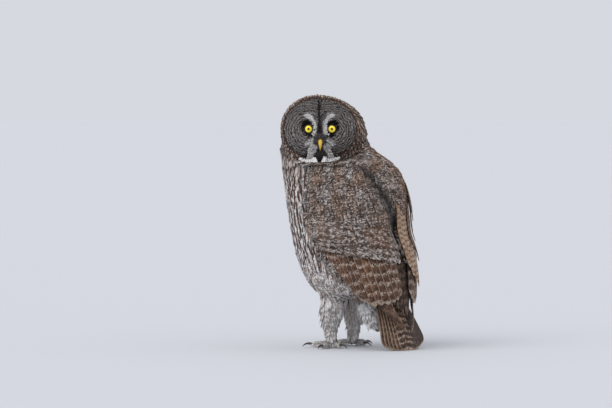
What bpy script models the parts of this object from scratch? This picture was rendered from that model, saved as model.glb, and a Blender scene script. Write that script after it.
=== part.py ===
"""Great grey owl standing on its feet, the head turned back over the left shoulder.

A still, life-size museum model. The bird faces -Y, its left side is +X and up is +Z;
all sizes are in metres and all angles in degrees. The bird is one still body, so each
node is a region of it: the nodes meet face to face across a gap of 0.3 mm.
"""
import math
import random

import bmesh
import bpy
from mathutils import Matrix, Vector

GAP = 0.0003
ROUNDNESS = 2.2

# Trunk, as level rings: height, centre Y, half width, depth to the front, depth to the back.
TRUNK = [
    (0.112, 0.058, 0.060, 0.080, 0.030),
    (0.125, 0.058, 0.080, 0.105, 0.048),
    (0.150, 0.056, 0.097, 0.128, 0.068),
    (0.200, 0.044, 0.108, 0.142, 0.100),
    (0.240, 0.035, 0.114, 0.144, 0.118),
    (0.280, 0.028, 0.117, 0.144, 0.126),
    (0.320, 0.024, 0.119, 0.148, 0.132),
    (0.360, 0.016, 0.117, 0.146, 0.134),
    (0.385, 0.009, 0.113, 0.146, 0.138),
    (0.400, 0.004, 0.107, 0.146, 0.140),
    (0.420, -0.013, 0.098, 0.131, 0.133),
    (0.440, -0.034, 0.092, 0.107, 0.124),
    (0.450, -0.041, 0.088, 0.100, 0.116),
    (0.459, -0.044, 0.072, 0.080, 0.088),
]
TRUNK_BOTTOM = 0.1183
TRUNK_TOP = 0.4050
NECK_TOP = 0.459

# Outside of the folded wings, as level rings: height, centre Y, half width, half depth.
WING_SHAPE = [
    (0.030, 0.080, 0.075, 0.125),
    (0.060, 0.078, 0.085, 0.125),
    (0.100, 0.072, 0.097, 0.123),
    (0.120, 0.070, 0.105, 0.126),
    (0.160, 0.058, 0.119, 0.135),
    (0.215, 0.043, 0.128, 0.140),
    (0.260, 0.031, 0.129, 0.137),
    (0.320, 0.024, 0.128, 0.142),
    (0.360, 0.016, 0.126, 0.143),
    (0.385, 0.009, 0.119, 0.142),
    (0.405, 0.000, 0.107, 0.143),
    (0.415, -0.008, 0.100, 0.138),
]
# Edges of a folded wing, as the angle round the bird from the middle of its back. The
# body is turned, so the right shoulder's feathers lie across the spine above the left wing.
WING_REAR = {
    1: [(0.12, 9), (0.20, 5), (0.25, 3), (0.30, 6), (0.36, 20), (0.405, 32)],
    -1: [(0.12, 4), (0.20, 4), (0.25, 2), (0.30, -1), (0.36, -14), (0.405, -25)],
}
WING_FRONT = [(0.20, 88), (0.232, 100), (0.25, 108), (0.30, 110), (0.36, 107), (0.405, 98)]
WING_TOP = TRUNK_TOP - GAP - 0.0003
WING_LOW = [(0.0, 0.215), (1.0, 0.248)]
WING_INSIDE = -0.022

# Feather rows of a wing. Each line gives places across the row, from its rear end (0) to
# its front end (1), with the angle and the height there; REACH is the lift at root and tip.
SECONDARY_ROOTS = [(0.0, 22, 0.270), (1.0, 98, 0.265)]
SECONDARY_TIPS = [(0.0, 14, 0.128), (0.2, 21, 0.108), (0.5, 45, 0.100), (0.75, 60, 0.118),
                  (1.0, 72, 0.160)]
SECONDARY_REACH = (-0.0125, -0.0065)
SECONDARY_COUNT = 9
PRIMARY_ROOTS = [(0.0, 93, 0.256), (1.0, 82, 0.268)]
PRIMARY_BENDS = [(0.0, 46, 0.112), (1.0, 39, 0.165)]
PRIMARY_TIPS = [(0.0, 4, 0.039), (1.0, -9, 0.080)]
PRIMARY_ENDS = (1.0, 0.82, 0.70, 0.62, 0.56)
PRIMARY_REACH = (-0.0170, -0.0105)
# Rows of coverts: height of the tips at the rear and at the front, length, lift at the tip.
COVERT_ROWS = [(0.196, 0.226, 0.072, -0.0020), (0.248, 0.262, 0.068, 0.0010),
               (0.298, 0.306, 0.064, 0.0010), (0.348, 0.350, 0.050, 0.0010)]
COVERT_COUNT = 8
COVERT_ROOT_LIFT = -0.0070
FLIGHT_SHINGLE = 0.0015
COVERT_SHINGLE = 0.0018
FLIGHT_OVERLAP = 1.5
COVERT_OVERLAP = 1.25
THICKNESS = 0.0008
# Long loose feathers behind the right shoulder: angle, root height, tip height, tip lift.
LOOSE = [(30, 0.372, 0.310, 0.0060), (34, 0.312, 0.252, 0.0060), (22, 0.300, 0.240, 0.0050)]

# Head, in its own frame: x to the head's left, y forward, z up from the eyes.
HEAD_AT = (0.024, -0.038, 0.491)
HEAD_TURN = 128.0
HEAD_SIDES = 38
EYE_X = 0.0261
EYE_FORWARD = 0.038
EYE_RADIUS = 0.012

# Tail: root and tip of its middle line, with the feathers' fan.
TAIL_ROOT = Vector((0.0, 0.1295, 0.150))
TAIL_TIP = Vector((-0.010, 0.190, -0.006))
TAIL_TWIST = 8.0
TAIL_PAIRS = 6
TAIL_FAN = 3.2
TAIL_FEATHER_HALF = 0.024
TAIL_STEP = 0.0012

LEG_X = 0.042
LEG_Y = 0.005
ANKLE = 0.030


def along(stations, at):
    """Values of a station table at a key, on a smooth curve that runs straight on outside it."""
    keys = [row[0] for row in stations]
    last = len(keys) - 1

    def slope(index, column):
        low = max(index - 1, 0)
        high = min(index + 1, last)
        return (stations[high][column] - stations[low][column]) / (keys[high] - keys[low])

    low = 0
    while low < last - 1 and keys[low + 1] <= at:
        low += 1
    width = keys[low + 1] - keys[low]
    s = (at - keys[low]) / width
    values = []
    for column in range(1, len(stations[0])):
        a = stations[low][column]
        b = stations[low + 1][column]
        rise_a = slope(low, column) * width
        rise_b = slope(low + 1, column) * width
        if s < 0:
            values.append(a + rise_a * s)
        elif s > 1:
            values.append(b + rise_b * (s - 1))
        else:
            values.append(a * (2 * s ** 3 - 3 * s ** 2 + 1) + b * (3 * s ** 2 - 2 * s ** 3)
                          + rise_a * (s ** 3 - 2 * s ** 2 + s) + rise_b * (s ** 3 - s ** 2))
    return values[0] if len(values) == 1 else values


def ring_radius(angle, half_width, front, back):
    """Distance from a ring's centre to its rim, the angle counted from the back (+Y)."""
    depth = back if math.cos(angle) > 0 else front
    across = abs(math.sin(angle)) / half_width
    lengthways = abs(math.cos(angle)) / depth
    return (across ** ROUNDNESS + lengthways ** ROUNDNESS) ** (-1 / ROUNDNESS)


def blend(low, high, at):
    """Smooth step from 0 at low to 1 at high."""
    s = min(max((at - low) / (high - low), 0.0), 1.0)
    return s * s * (3 - 2 * s)


def wing_point(side, angle, z, lift):
    """Point off the outside of a folded wing by lift; side is 1 for left and -1 for right."""
    centre, half_width, depth = along(WING_SHAPE, z)
    turn = math.radians(angle)
    radius = ring_radius(turn, half_width, depth, depth) + lift
    return Vector((side * radius * math.sin(turn), centre + radius * math.cos(turn), z))


def trunk_point(turn, z, grow=0.0):
    """Point of the trunk's surface; it draws in under the hanging wing feathers."""
    centre, half_width, front, back = along(TRUNK, z)
    radius = ring_radius(turn, half_width, front, back)
    point = Vector((radius * math.sin(turn), centre + radius * math.cos(turn), z))
    wing_centre, wing_half, wing_depth = along(WING_SHAPE, min(z, 0.41))
    angle = math.degrees(abs(math.atan2(point.x, point.y - wing_centre)))
    room = 0.0195 - 0.0080 * blend(0.252, 0.285, z) - 0.0020 * blend(0.37, 0.40, z)
    edge = along(WING_FRONT, min(max(z, 0.2), 0.405))
    fade = blend(edge + 5, edge + 17, angle)
    limit = ring_radius(math.radians(angle), wing_half, wing_depth, wing_depth) - room
    reach = math.hypot(point.x, point.y - wing_centre)
    if z < 0.406 and reach > limit and fade < 1:
        shorter = (limit + (reach - limit) * fade) / reach
        point.x *= shorter
        point.y = wing_centre + (point.y - wing_centre) * shorter
    point.x += grow * math.sin(turn) + 0.012 * blend(0.405, 0.455, z)
    point.y += grow * math.cos(turn)
    return point


def solid(name, points, faces):
    """Closed object from points and faces, its faces turned outward."""
    mesh = bpy.data.meshes.new(name)
    mesh.from_pydata([tuple(point) for point in points], [], faces)
    shell = bmesh.new()
    shell.from_mesh(mesh)
    bmesh.ops.recalc_face_normals(shell, faces=shell.faces)
    shell.to_mesh(mesh)
    shell.free()
    thing = bpy.data.objects.new(name, mesh)
    bpy.context.scene.collection.objects.link(thing)
    return thing


def loft(name, rings):
    """Solid through closed rings of points, each end closed to the middle of its ring."""
    count = len(rings[0])
    points = [point for ring in rings for point in ring]
    faces = []
    for level in range(len(rings) - 1):
        for i in range(count):
            j = (i + 1) % count
            low = level * count
            high = low + count
            faces.append((low + i, low + j, high + j, high + i))
    for level in (0, len(rings) - 1):
        middle = sum((Vector(point) for point in rings[level]), Vector()) / count
        points.append(middle)
        for i in range(count):
            faces.append((level * count + i, level * count + (i + 1) % count, len(points) - 1))
    return solid(name, points, faces)


def sheet(name, place, across, lengthways):
    """Thin solid over a grid; place(u, v, face) gives its points, face 1 outside and 0 inside.

    Both faces are split into the same triangles, so that a thin curved sheet stays whole.
    """
    rows = len(lengthways)
    columns = len(across)
    points = []
    for face in (1, 0):
        for v in lengthways:
            for u in across:
                points.append(place(u, v, face))

    def at(face, row, column):
        return (0 if face else rows * columns) + row * columns + column

    faces = []
    for row in range(rows - 1):
        for column in range(columns - 1):
            for face in (1, 0):
                corners = [at(face, row, column), at(face, row, column + 1),
                           at(face, row + 1, column + 1), at(face, row + 1, column)]
                if not face:
                    faces.append((corners[2], corners[1], corners[0]))
                    faces.append((corners[3], corners[2], corners[0]))
                else:
                    faces.append((corners[0], corners[1], corners[2]))
                    faces.append((corners[0], corners[2], corners[3]))
    rim = [(0, column) for column in range(columns)]
    rim += [(row, columns - 1) for row in range(1, rows)]
    rim += [(rows - 1, column) for column in range(columns - 2, -1, -1)]
    rim += [(row, 0) for row in range(rows - 2, 0, -1)]
    for here, there in zip(rim, rim[1:] + rim[:1]):
        faces.append((at(1, *here), at(0, *there), at(1, *there)))
        faces.append((at(1, *here), at(0, *here), at(0, *there)))
    return solid(name, points, faces)


def combine(base, others, operation, solver="EXACT"):
    """Base joined with, or cut by, the other solids, which are removed."""
    group = bpy.data.collections.new("others")
    bpy.context.scene.collection.children.link(group)
    for other in others:
        bpy.context.scene.collection.objects.unlink(other)
        group.objects.link(other)
    step = base.modifiers.new("combine", "BOOLEAN")
    step.operation = operation
    step.solver = solver
    step.operand_type = "COLLECTION"
    step.collection = group
    keep_largest(base)
    for other in others:
        bpy.data.objects.remove(other)
    bpy.data.collections.remove(group)
    return base


def keep_largest(thing):
    """Apply the object's modifiers and keep the largest of its closed surfaces."""
    view = bpy.context.evaluated_depsgraph_get()
    mesh = bpy.data.meshes.new_from_object(thing.evaluated_get(view))
    thing.modifiers.clear()
    shell = bmesh.new()
    shell.from_mesh(mesh)
    bmesh.ops.remove_doubles(shell, verts=shell.verts, dist=1e-6)
    bmesh.ops.dissolve_degenerate(shell, edges=shell.edges, dist=1e-6)
    bmesh.ops.triangulate(shell, faces=shell.faces)
    left = set(shell.faces)
    parts = []
    while left:
        stack = [left.pop()]
        part = []
        while stack:
            face = stack.pop()
            part.append(face)
            for edge in face.edges:
                for other in edge.link_faces:
                    if other in left:
                        left.remove(other)
                        stack.append(other)
        parts.append(part)

    def size(part):
        return abs(sum(face.verts[0].co.dot(face.verts[1].co.cross(face.verts[2].co))
                       for face in part))

    parts.sort(key=size)
    loose = [face for part in parts[:-1] for face in part]
    bmesh.ops.delete(shell, geom=loose, context="FACES")
    shell.to_mesh(mesh)
    shell.free()
    thing.data = mesh


def paint(thing, colour):
    """Give the object its own plain material."""
    material = bpy.data.materials.new(thing.name)
    material.use_nodes = True
    shader = material.node_tree.nodes["Principled BSDF"]
    shader.inputs["Base Color"].default_value = (*colour, 1.0)
    shader.inputs["Roughness"].default_value = 0.8
    thing.data.materials.clear()
    thing.data.materials.append(material)


def trunk(name, low, high, levels, grow=0.0, count=36):
    """Part of the trunk between two heights."""
    rings = []
    for level in range(levels + 1):
        z = low + (high - low) * level / levels
        rings.append([trunk_point(2 * math.pi * i / count, z, grow) for i in range(count)])
    return loft(name, rings)


def wing_core(name, side, grow=0.0):
    """Muscle and bone of a folded wing: a thick shell let into the trunk."""
    def place(u, v, face):
        bottom = along(WING_LOW, u) - grow
        z = WING_TOP + grow + (bottom - WING_TOP - grow) * v
        level = min(z, 0.405)
        spread = math.degrees(3 * grow / 0.12)
        rear = along(WING_REAR[side], level) + 1 - spread
        front = along(WING_FRONT, level) - 2 + spread
        angle = rear + (front - rear) * u
        if face:
            edge = min(u / 0.12, (1 - u) / 0.12, (1 - v) / 0.15, 1.0)
            lift = -0.0045 - 0.0080 * (1 - edge) ** 2 + grow * 25
        else:
            lift = WING_INSIDE - grow
        return wing_point(side, angle, z, lift)

    across = [i / 10 for i in range(11)]
    lengthways = [i / 6 for i in range(7)]
    return sheet(name, place, across, lengthways)


def row_place(row, q, v):
    """Angle and height at a place across (q) and along (v) a feather row.

    A row is its line of roots and its line of tips, and between them, where the feathers
    bend, the line that they bend towards.
    """
    places = [along(line, q) for line in row]
    if len(places) == 2:
        weights = (1 - v, v)
    else:
        weights = ((1 - v) ** 2, 2 * v * (1 - v), v * v)
    return [sum(weight * place[i] for weight, place in zip(weights, places)) for i in (0, 1)]


FLIGHT_VANE = [(0.0, 0.60), (0.35, 0.92), (0.70, 1.00), (0.93, 0.80), (1.0, 0.34)]
PRIMARY_VANE = [(0.0, 0.60), (0.17, 0.80), (0.38, 0.92), (0.70, 1.00), (0.93, 0.80), (1.0, 0.34)]
COVERT_VANE = [(0.0, 0.70), (0.50, 1.00), (0.85, 0.86), (1.0, 0.28)]


def vane(name, side, row, count, index, reach, shingle, overlap, shape, draw,
         end=1.0):
    """One feather of a row, lying over its forward neighbour and under its rear one."""
    middle = (index + 0.5) / count + draw.uniform(-0.04, 0.04) / count
    end += draw.uniform(-0.02, 0.02)
    widths = dict(shape)

    def place(u, v, face):
        q = middle + u * widths[v] * overlap / (2 * count)
        way = end * v
        angle, z = row_place(row, q, way)
        lift = reach[0] + (reach[1] - reach[0]) * min(way, 1.0)
        lift += shingle * (q * count - index - 0.5)
        lift += THICKNESS / 2 if face else -THICKNESS / 2
        return wing_point(side, angle, z, lift)

    return sheet(name, place, (-1, 1), [v for v, _ in shape])


def covert_row(side, rear_z, front_z, length):
    """Lines of roots and tips of a row of coverts."""
    roots = []
    tips = []
    for step in range(6):
        q = step / 5
        z = rear_z + (front_z - rear_z) * q
        root_z = min(z + length, 0.4)
        low = along(WING_REAR[side], min(z, 0.405)) + 3
        high = along(WING_FRONT, min(max(z, 0.2), 0.405)) - 5
        tips.append((q, low + (high - low) * q, z))
        low = along(WING_REAR[side], min(root_z, 0.405)) + 4
        high = along(WING_FRONT, min(root_z, 0.405)) - 5
        roots.append((q, low + (high - low) * q, root_z))
    return roots, tips


def wing(name, side):
    """A folded wing with its feathers in tiers."""
    core = wing_core(name, side)
    draw = random.Random(name)
    shift = 0 if side > 0 else -6
    secondary_tips = [(q, angle + shift * (1 - q), z) for q, angle, z in SECONDARY_TIPS]
    parts = []
    for index in range(SECONDARY_COUNT):
        parts.append(vane("secondary", side, (SECONDARY_ROOTS, secondary_tips), SECONDARY_COUNT,
                          index, SECONDARY_REACH, FLIGHT_SHINGLE, FLIGHT_OVERLAP, FLIGHT_VANE,
                          draw))
    primary_tips = [(q, angle + (0 if side > 0 else 2), z) for q, angle, z in PRIMARY_TIPS]
    for index, end in enumerate(PRIMARY_ENDS):
        parts.append(vane("primary", side, (PRIMARY_ROOTS, PRIMARY_BENDS, primary_tips),
                          len(PRIMARY_ENDS), index, PRIMARY_REACH, FLIGHT_SHINGLE,
                          FLIGHT_OVERLAP, PRIMARY_VANE, draw, end))
    for rear_z, front_z, length, lift in COVERT_ROWS:
        row = covert_row(side, rear_z, front_z, length)
        for index in range(COVERT_COUNT):
            parts.append(vane("covert", side, row, COVERT_COUNT, index,
                              (COVERT_ROOT_LIFT, lift), COVERT_SHINGLE, COVERT_OVERLAP,
                              COVERT_VANE, draw))
    if side < 0:
        for angle, root_z, tip_z, lift in LOOSE:
            row = ([(0.0, angle - 3, root_z), (1.0, angle + 3, root_z)],
                   [(0.0, angle - 3, tip_z), (1.0, angle + 3, tip_z)])
            parts.append(vane("loose", side, row, 1, 0, (-0.0060, lift), 0.0, 1.0,
                              COVERT_VANE, draw))
    return combine(core, parts, "UNION")


def head_point(x, forward, up):
    """Point given in the head's frame: to its left, forward and up."""
    turn = math.radians(HEAD_TURN)
    ahead = Vector((math.sin(turn), -math.cos(turn), 0.0))
    left = Vector((math.cos(turn), math.sin(turn), 0.0))
    return Vector(HEAD_AT) + left * x + ahead * forward + Vector((0.0, 0.0, up))


def outline(theta, quarters):
    """Radius of an outline at an angle from the head's left.

    Its quarters go round from the upper left, each with its width, height and squareness.
    """
    width, height, squareness = quarters[int(theta % (2 * math.pi) / (math.pi / 2)) % 4]
    across = abs(math.cos(theta)) / width
    upward = abs(math.sin(theta)) / height
    return (across ** squareness + upward ** squareness) ** (-1 / squareness)


DISC = ((0.078, 0.066, 2.15), (0.078, 0.068, 2.15), (0.078, 0.063, 2.3), (0.078, 0.063, 2.3))
# The nape's feathers stand out beyond the disc on the side of the back.
SKULL = ((0.105, 0.078, 1.85), (0.0915, 0.078, 2.15), (0.0915, 0.076, 2.9), (0.110, 0.076, 2.6))


def face_depth(x, z, ring):
    """Forward reach of the face at a point, ring being 0 in its middle and 1 at the rim."""
    depth = 0.057 - 0.019 * ring ** 2.4
    depth -= 0.010 * math.exp(-((abs(x) - 0.028) ** 2 + z ** 2) / (2 * 0.019 ** 2))
    depth += 0.007 * math.exp(-(x / 0.008) ** 2) * blend(-0.055, -0.02, z) * blend(0.075, 0.03, z)
    return depth


HEAD_BACK = [(0.94, 0.028), (0.99, 0.010), (1.0, -0.010), (0.95, -0.034), (0.84, -0.054),
             (0.66, -0.070), (0.38, -0.081)]


def head_ring(scale, forward, grow=0.0):
    """Ring of the head behind its face, at one depth."""
    ring = []
    for i in range(HEAD_SIDES):
        theta = 2 * math.pi * i / HEAD_SIDES
        radius = outline(theta, SKULL) * scale + grow
        ring.append(head_point(radius * math.cos(theta), forward, radius * math.sin(theta)))
    return ring


def head(name):
    """Head with its facial disc."""
    rings = []
    for ring in (0.04, 0.14, 0.26, 0.38, 0.50, 0.62, 0.75, 0.88, 1.0):
        points = []
        for i in range(HEAD_SIDES):
            theta = 2 * math.pi * i / HEAD_SIDES
            radius = outline(theta, DISC) * ring
            x = radius * math.cos(theta)
            z = radius * math.sin(theta)
            points.append(head_point(x, face_depth(x, z, ring), z))
        rings.append(points)
    rings += [head_ring(scale, forward) for scale, forward in HEAD_BACK]
    return loft(name, rings)


RUFF = [(0.0, 0.9), (0.6, 1.0), (1.0, 0.35)]
RUFF_COUNT = 28


def ruff():
    """Ring of short stiff feathers standing round the facial disc."""
    draw = random.Random("ruff")
    feathers = []
    widths = dict(RUFF)
    for index in range(RUFF_COUNT):
        size = draw.uniform(0.9, 1.1)

        def place(u, v, face):
            turn = (index + 0.5 + u * 0.75 * widths[v]) / RUFF_COUNT
            theta = 2 * math.pi * turn
            rim = outline(theta, DISC)
            radius = rim - 0.010 + 0.019 * v * size
            forward = 0.0275 + 0.0135 * v * size
            forward += 0.0014 * (turn * RUFF_COUNT - index - 0.5)
            forward += 0.0005 if face else -0.0005
            return head_point(radius * math.cos(theta), forward, radius * math.sin(theta))

        feathers.append(sheet("ruff", place, (-1, 1), [v for v, _ in RUFF]))
    return feathers


def lid(name, centre, radius, thickness, count=16, sides=6):
    """Ring of bare skin round the eye."""
    rings = []
    for i in range(count):
        theta = 2 * math.pi * i / count
        ring = []
        for j in range(sides):
            phi = 2 * math.pi * j / sides
            reach = radius + thickness * math.cos(phi)
            ring.append(head_point(centre[0] + reach * math.cos(theta),
                                   centre[1] + thickness * math.sin(phi),
                                   centre[2] + reach * math.sin(theta)))
        rings.append(ring)
    points = [point for ring in rings for point in ring]
    faces = [(i * sides + j, i * sides + (j + 1) % sides,
              (i + 1) % count * sides + (j + 1) % sides, (i + 1) % count * sides + j)
             for i in range(count) for j in range(sides)]
    return solid(name, points, faces)


def head_room(name):
    """Room for the head in the neck, open to the front so that the face stays clear."""
    rings = [head_ring(1.0, 0.16, GAP)]
    rings += [head_ring(scale, forward - GAP, GAP) for scale, forward in HEAD_BACK]
    rings[1:1] = [head_ring(1.0, 0.16 - 0.134 * i / 4, GAP) for i in range(1, 4)]
    return loft(name, rings)


def ball(name, centre, radius, levels=10, count=18):
    """Round solid with its poles on the head's line of sight."""
    rings = []
    for level in range(1, levels):
        polar = math.pi * level / levels
        rings.append([
            head_point(centre[0] + radius * math.sin(polar) * math.cos(2 * math.pi * i / count),
                       centre[1] + radius * math.cos(polar),
                       centre[2] + radius * math.sin(polar) * math.sin(2 * math.pi * i / count))
            for i in range(count)])
    return loft(name, rings)


BILL_UPPER = [  # forward, up, half width, half height
    (0.050, -0.010, 0.0050, 0.0040),
    (0.058, -0.015, 0.0065, 0.0055),
    (0.068, -0.019, 0.0064, 0.0062),
    (0.0745, -0.027, 0.0056, 0.0055),
    (0.0760, -0.036, 0.0040, 0.0040),
    (0.0745, -0.044, 0.0022, 0.0025),
    (0.0725, -0.0500, 0.0006, 0.0008),
]
BILL_LOWER = [
    (0.050, -0.030, 0.0040, 0.0030),
    (0.058, -0.034, 0.0040, 0.0030),
    (0.065, -0.0375, 0.0034, 0.0024),
    (0.0700, -0.0405, 0.0018, 0.0012),
]


def horn(name, path, grow=0.0, count=14):
    """Half of the bill: oval rings along a bent path in the head's middle plane."""
    rings = []
    for index, (forward, up, half_width, half_height) in enumerate(path):
        before = path[max(index - 1, 0)]
        after = path[min(index + 1, len(path) - 1)]
        heading = Vector((after[0] - before[0], after[1] - before[1])).normalized()
        normal = Vector((-heading.y, heading.x))
        start = -grow if index == 0 else (grow if index == len(path) - 1 else 0.0)
        ring = []
        for i in range(count):
            theta = 2 * math.pi * i / count
            side = (half_width + grow) * math.cos(theta)
            rise = (half_height + grow) * math.sin(theta)
            ring.append(head_point(side, forward + normal.x * rise + heading.x * start,
                                   up + normal.y * rise + heading.y * start))
        rings.append(ring)
    return loft(name, rings)


def tail_point(side_way, down, lift):
    """Point of the tail: across it, along it from root (0) to tip (1), and off its plane."""
    axis = TAIL_TIP - TAIL_ROOT
    across = Matrix.Rotation(math.radians(TAIL_TWIST), 3, axis) @ Vector((1.0, 0.0, 0.0))
    outward = across.cross(axis).normalized()
    if outward.y < 0:
        outward = -outward
    bow = 0.006 * math.sin(math.pi * min(max(down, 0.0), 1.0))
    return TAIL_ROOT + axis * down + across * side_way + outward * (bow + lift)


TAIL_VANE = [(0.0, 0.80), (0.45, 0.95), (0.80, 1.00), (0.94, 0.82), (1.0, 0.34)]


def tail(name):
    """Tail: a fleshy root let into the trunk's end, and twelve feathers in a closed fan."""
    rings = []
    for z, y, half_width, depth in ((0.200, 0.118, 0.020, 0.012), (0.185, 0.125, 0.034, 0.020),
                                    (0.165, 0.131, 0.042, 0.025), (0.140, 0.137, 0.040, 0.021),
                                    (0.120, 0.143, 0.032, 0.014), (0.108, 0.146, 0.022, 0.008)):
        rings.append([(half_width * math.cos(a), y + depth * math.sin(a), z)
                      for a in (2 * math.pi * i / 14 for i in range(14))])
    root = loft(name, rings)
    reach = (TAIL_TIP - TAIL_ROOT).length
    draw = random.Random(name)
    feathers = []
    for pair in range(TAIL_PAIRS):
        for side in (1, -1):
            fan = math.radians(side * (1.2 + TAIL_FAN * pair))
            level = TAIL_STEP * (2 * pair + (0 if side > 0 else 1))
            size = (1.0 - 0.012 * pair) * draw.uniform(0.985, 1.0)
            widths = dict(TAIL_VANE)

            def place(u, v, face):
                way = v * reach * size
                off = u * widths[v] * TAIL_FEATHER_HALF
                side_way = way * math.sin(fan) + off * math.cos(fan)
                down = (way * math.cos(fan) - off * math.sin(fan)) / reach
                lift = -level + (THICKNESS / 2 if face else -THICKNESS / 2)
                return tail_point(side_way, down, lift)

            feathers.append(sheet("rectrix", place, (-1, 1), [v for v, _ in TAIL_VANE]))
    return combine(root, feathers, "UNION")


def box(name, low, high):
    """Box between two corners."""
    points = [(x, y, z) for x in (low[0], high[0]) for y in (low[1], high[1])
              for z in (low[2], high[2])]
    faces = [(0, 1, 3, 2), (4, 6, 7, 5), (0, 4, 5, 1), (2, 3, 7, 6), (0, 2, 6, 4), (1, 5, 7, 3)]
    return solid(name, points, faces)


def tube(name, path, count=14):
    """Round limb through points (x, y, z, radius), its rings square to the path."""
    rings = []
    for index, (x, y, z, radius) in enumerate(path):
        before = Vector(path[max(index - 1, 0)][:3])
        after = Vector(path[min(index + 1, len(path) - 1)][:3])
        heading = (after - before).normalized()
        guide = Vector((0, 0, 1)) if abs(heading.z) < 0.8 else Vector((0, 1, 0))
        across = heading.cross(guide).normalized()
        upward = across.cross(heading).normalized()
        rings.append([Vector((x, y, z)) + across * radius * math.cos(a) + upward * radius *
                      math.sin(a) for a in (2 * math.pi * i / count for i in range(count))])
    return loft(name, rings)


LOCK = [(0.0, 0.9), (0.6, 1.0), (1.0, 0.3)]


def belly_locks(count=13):
    """Loose locks of the belly that hang over the thighs."""
    draw = random.Random("belly")
    widths = dict(LOCK)
    locks = []
    for index in range(count):
        size = draw.uniform(0.85, 1.15)

        def place(u, v, face):
            turn = 98 + (index + 0.5 + u * 0.75 * widths[v]) * (360 - 2 * 98) / count
            grow = 0.0014 * ((turn - 98) * count / (360 - 2 * 98) - index - 0.5)
            grow += (-0.003 + 0.006 * v) + (0.0006 if face else -0.0006)
            z = 0.150 - 0.040 * v * size
            return trunk_point(math.radians(turn), max(z, 0.128), grow) - \
                Vector((0, 0, max(0.128 - z, 0.0)))

        locks.append(sheet("lock", place, (-1, 1), [v for v, _ in LOCK]))
    return locks


def leg(name, side):
    """Feathered leg from the trunk's underside to the ankle."""
    rings = []
    top = TRUNK_BOTTOM - GAP
    for z, y, radius in ((top, 0.010, 0.030), (0.095, 0.008, 0.027), (0.070, 0.006, 0.023),
                         (0.050, 0.005, 0.019), (ANKLE + GAP, 0.005, 0.016)):
        rings.append([(side * (LEG_X + radius * math.cos(a)), y + radius * math.sin(a), z)
                      for a in (2 * math.pi * i / 24 for i in range(24))])
    return loft(name, rings)


# Toes: heading (0 forward, positive outward), length to the root of the talon, talon length.
TOES = [(-16, 0.036, 0.024), (14, 0.040, 0.025), (100, 0.034, 0.022), (176, 0.024, 0.022)]


def toe_frame(side, heading):
    """Direction of a toe on the floor."""
    turn = math.radians(heading)
    return Vector((side * math.sin(turn), -math.cos(turn), 0.0))


def foot(name, side):
    """Feathered foot: four toes round the ankle, cut flat on the floor."""
    ankle = Vector((side * LEG_X, LEG_Y, 0.0))
    hub = tube(name, [(ankle.x, ankle.y, ANKLE, 0.0150), (ankle.x, ankle.y, 0.020, 0.0150),
                      (ankle.x, ankle.y, 0.010, 0.0150), (ankle.x, ankle.y, -0.001, 0.0130)], 16)
    toes = []
    for index, (heading, length, _) in enumerate(TOES):
        ahead = toe_frame(side, heading)
        path = []
        for part, height, radius in ((0.0, 0.0100, 0.0080), (0.45, 0.0085, 0.0082),
                                     (0.75, 0.0072, 0.0082), (0.93, 0.0066, 0.0070),
                                     (1.0, 0.0064, 0.0050)):
            spot = ankle + ahead * (0.004 + length * part)
            path.append((spot.x, spot.y, height, radius))
        toes.append(tube("toe%d" % index, path, 9))
    combine(hub, toes, "UNION")
    floor = box("floor", (-0.3, -0.3, -0.1), (0.3, 0.3, 0.0))
    combine(hub, [floor], "DIFFERENCE")
    for index, (heading, length, reach) in enumerate(TOES):
        combine(hub, [talon("cut", side, heading, length, reach, GAP)], "DIFFERENCE")
    return hub


def talon(name, side, heading, length, reach, grow=0.0):
    """Curved claw growing from the end of a toe."""
    ankle = Vector((side * LEG_X, LEG_Y, 0.0))
    ahead = toe_frame(side, heading)
    path = []
    for part, height, radius in ((-0.22, 0.0064, 0.0026), (0.05, 0.0078, 0.0030),
                                 (0.35, 0.0088, 0.0026), (0.65, 0.0074, 0.0018),
                                 (0.88, 0.0040, 0.0010), (1.0, 0.0012, 0.0004)):
        extra = -grow if part < 0 else 0.0
        spot = ankle + ahead * (0.004 + length + reach * part + extra)
        path.append((spot.x, spot.y, height, radius + grow))
    return tube(name, path, 8)


for thing in list(bpy.data.objects):
    bpy.data.objects.remove(thing)

feather_brown = (0.10, 0.075, 0.055)
pale_grey = (0.32, 0.30, 0.28)
body = trunk("torso", TRUNK_BOTTOM, TRUNK_TOP - GAP / 2, 13)
combine(body, belly_locks(), "UNION")
vent = loft("vent", [[(half * math.cos(a), y + depth * math.sin(a), z)
                      for a in (2 * math.pi * i / 20 for i in range(20))]
                     for z, y, half, depth in ((TRUNK_BOTTOM - GAP, 0.072, 0.038, 0.024),
                                               (0.090, 0.086, 0.033, 0.026),
                                               (0.065, 0.097, 0.026, 0.021),
                                               (0.045, 0.105, 0.017, 0.014),
                                               (0.034, 0.109, 0.007, 0.007))])
paint(vent, pale_grey)
combine(body, [wing_core("seat", 1, GAP), wing_core("seat", -1, GAP)], "DIFFERENCE")
paint(body, pale_grey)

neck = trunk("neck", TRUNK_TOP + GAP / 2, NECK_TOP, 5)
face = head("head")
lids = [lid("lid", (side * EYE_X, EYE_FORWARD + 0.0085, 0.0), 0.0086, 0.0012) for side in (1, -1)]
combine(face, ruff() + lids, "UNION")
combine(neck, [head_room("head_room")], "DIFFERENCE")
paint(neck, pale_grey)

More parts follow.
